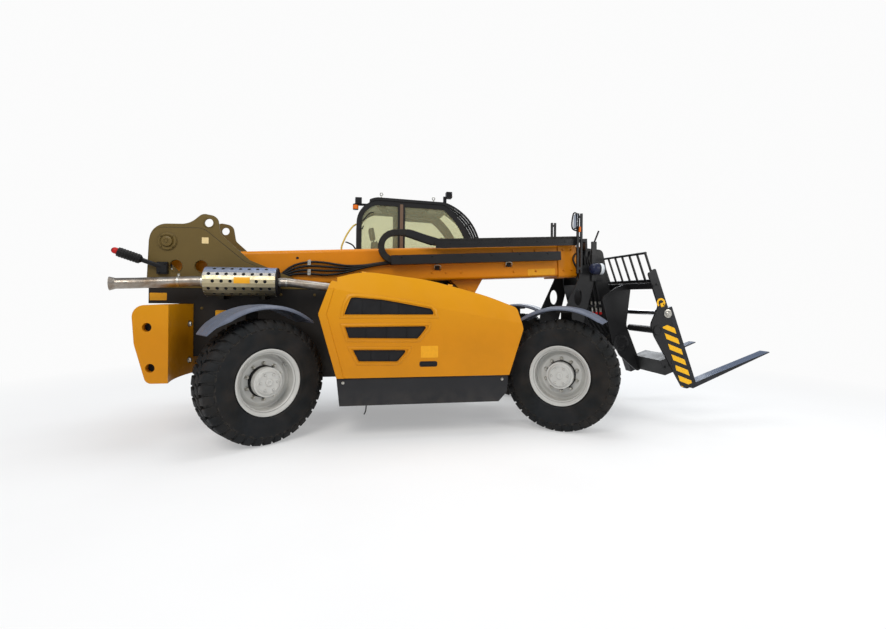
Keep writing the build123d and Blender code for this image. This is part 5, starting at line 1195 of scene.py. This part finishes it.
def make_stage():
    """A pale floor that blends into the backdrop with distance."""
    mesh = bpy.data.meshes.new("floor")
    corners = [(FLOOR_REACH * x, FLOOR_REACH * y, 0) for x, y in ((-1, -1), (1, -1), (1, 1), (-1, 1))]
    mesh.from_pydata(corners, [], [(0, 1, 2, 3)])
    floor = bpy.data.objects.new("floor", mesh)
    bpy.context.collection.objects.link(floor)
    recipe = Recipe("floor", srgb(246, 246, 245), 0.9)
    recipe.mottled(srgb(240, 239, 238), 0.8, 0.5).done()
    far = recipe.node("VectorMath", {0: recipe.coordinates}, operation="LENGTH").outputs["Value"]
    ray = recipe.node("LightPath").outputs
    seen = recipe.math("MAXIMUM", ray["Is Camera Ray"], ray["Is Glossy Ray"])
    share = recipe.math("MULTIPLY", recipe.levels(far, *FLOOR_FADE, 0.35, 1.0), seen)
    recipe.blend(share, recipe.node("Emission", {"Strength": BACKDROP}))
    mesh.materials.append(recipe.material)


def make_world():
    """Soft sky light, with an even backdrop for the camera and through glass."""
    world = bpy.data.worlds.new("studio")
    world.use_nodes = True
    tree = world.node_tree
    tree.nodes.clear()
    light = add_node(tree, "Background", {"Color": srgb(226, 232, 242), "Strength": 0.55})
    seen = add_node(tree, "Background", {"Color": (1.0, 1.0, 1.0, 1.0), "Strength": BACKDROP})
    ray = add_node(tree, "LightPath").outputs
    rays = {0: ray["Is Camera Ray"], 1: ray["Is Transmission Ray"]}
    either = add_node(tree, "Math", rays, operation="MAXIMUM")
    mix = add_node(tree, "MixShader", {0: either.outputs[0], 1: light.outputs[0], 2: seen.outputs[0]})
    add_node(tree, "OutputWorld", {0: mix.outputs[0]})
    bpy.context.scene.world = world


def make_lights():
    """A broad key high on the right, light from the top, and weaker fills from the front and the left."""
    for name, place, size, power, colour in (
            ("key", at(-2.5, -9.0, 8.5), 5.0, 560.0, (1.0, 0.97, 0.92)),
            ("top", at(3.0, 0.5, 9.5), 6.0, 380.0, (0.95, 0.98, 1.0)),
            ("fill", at(7.0, 7.0, 5.0), 5.0, 260.0, (0.92, 0.96, 1.0)),
            ("front", at(8.0, -5.0, 4.0), 4.0, 150.0, (1.0, 0.98, 0.94))):
        light = bpy.data.lights.new(name, "AREA")
        light.size, light.energy, light.color = size, power, colour
        lamp = bpy.data.objects.new(name, light)
        lamp.location = place
        lamp.rotation_euler = (at(2.0, 0, 1.2) - place).to_track_quat("-Z", "Y").to_euler()
        bpy.context.collection.objects.link(lamp)


def make_camera():
    """A wide lens close to the right side, a little behind the middle, turned forward."""
    camera = bpy.data.cameras.new("camera")
    camera.sensor_width, camera.lens, camera.shift_y, camera.clip_end = SENSOR, LENS, -0.0198, 200.0
    eye = bpy.data.objects.new("camera", camera)
    eye.matrix_world = Matrix.Translation(at(*EYE)) @ turn(PAN) @ turn(pi / 2, "X") @ turn(ROLL)
    bpy.context.collection.objects.link(eye)
    bpy.context.scene.camera = eye


# -------- build

for row in ENAMELS:
    enamel(*row)
for make in (
        make_metals, make_plastics, make_glass, dress_nodes, make_wheels, make_counterweight, make_towers,
        make_exhaust, make_hood, make_skirts, make_boom_hoses, make_boom_trim, make_chain, make_boom_head,
        make_carriage, make_lamps, make_cab, make_seat, make_stage, make_world, make_lights, make_camera):
    make()
bpy.context.scene.view_settings.view_transform = "Standard"
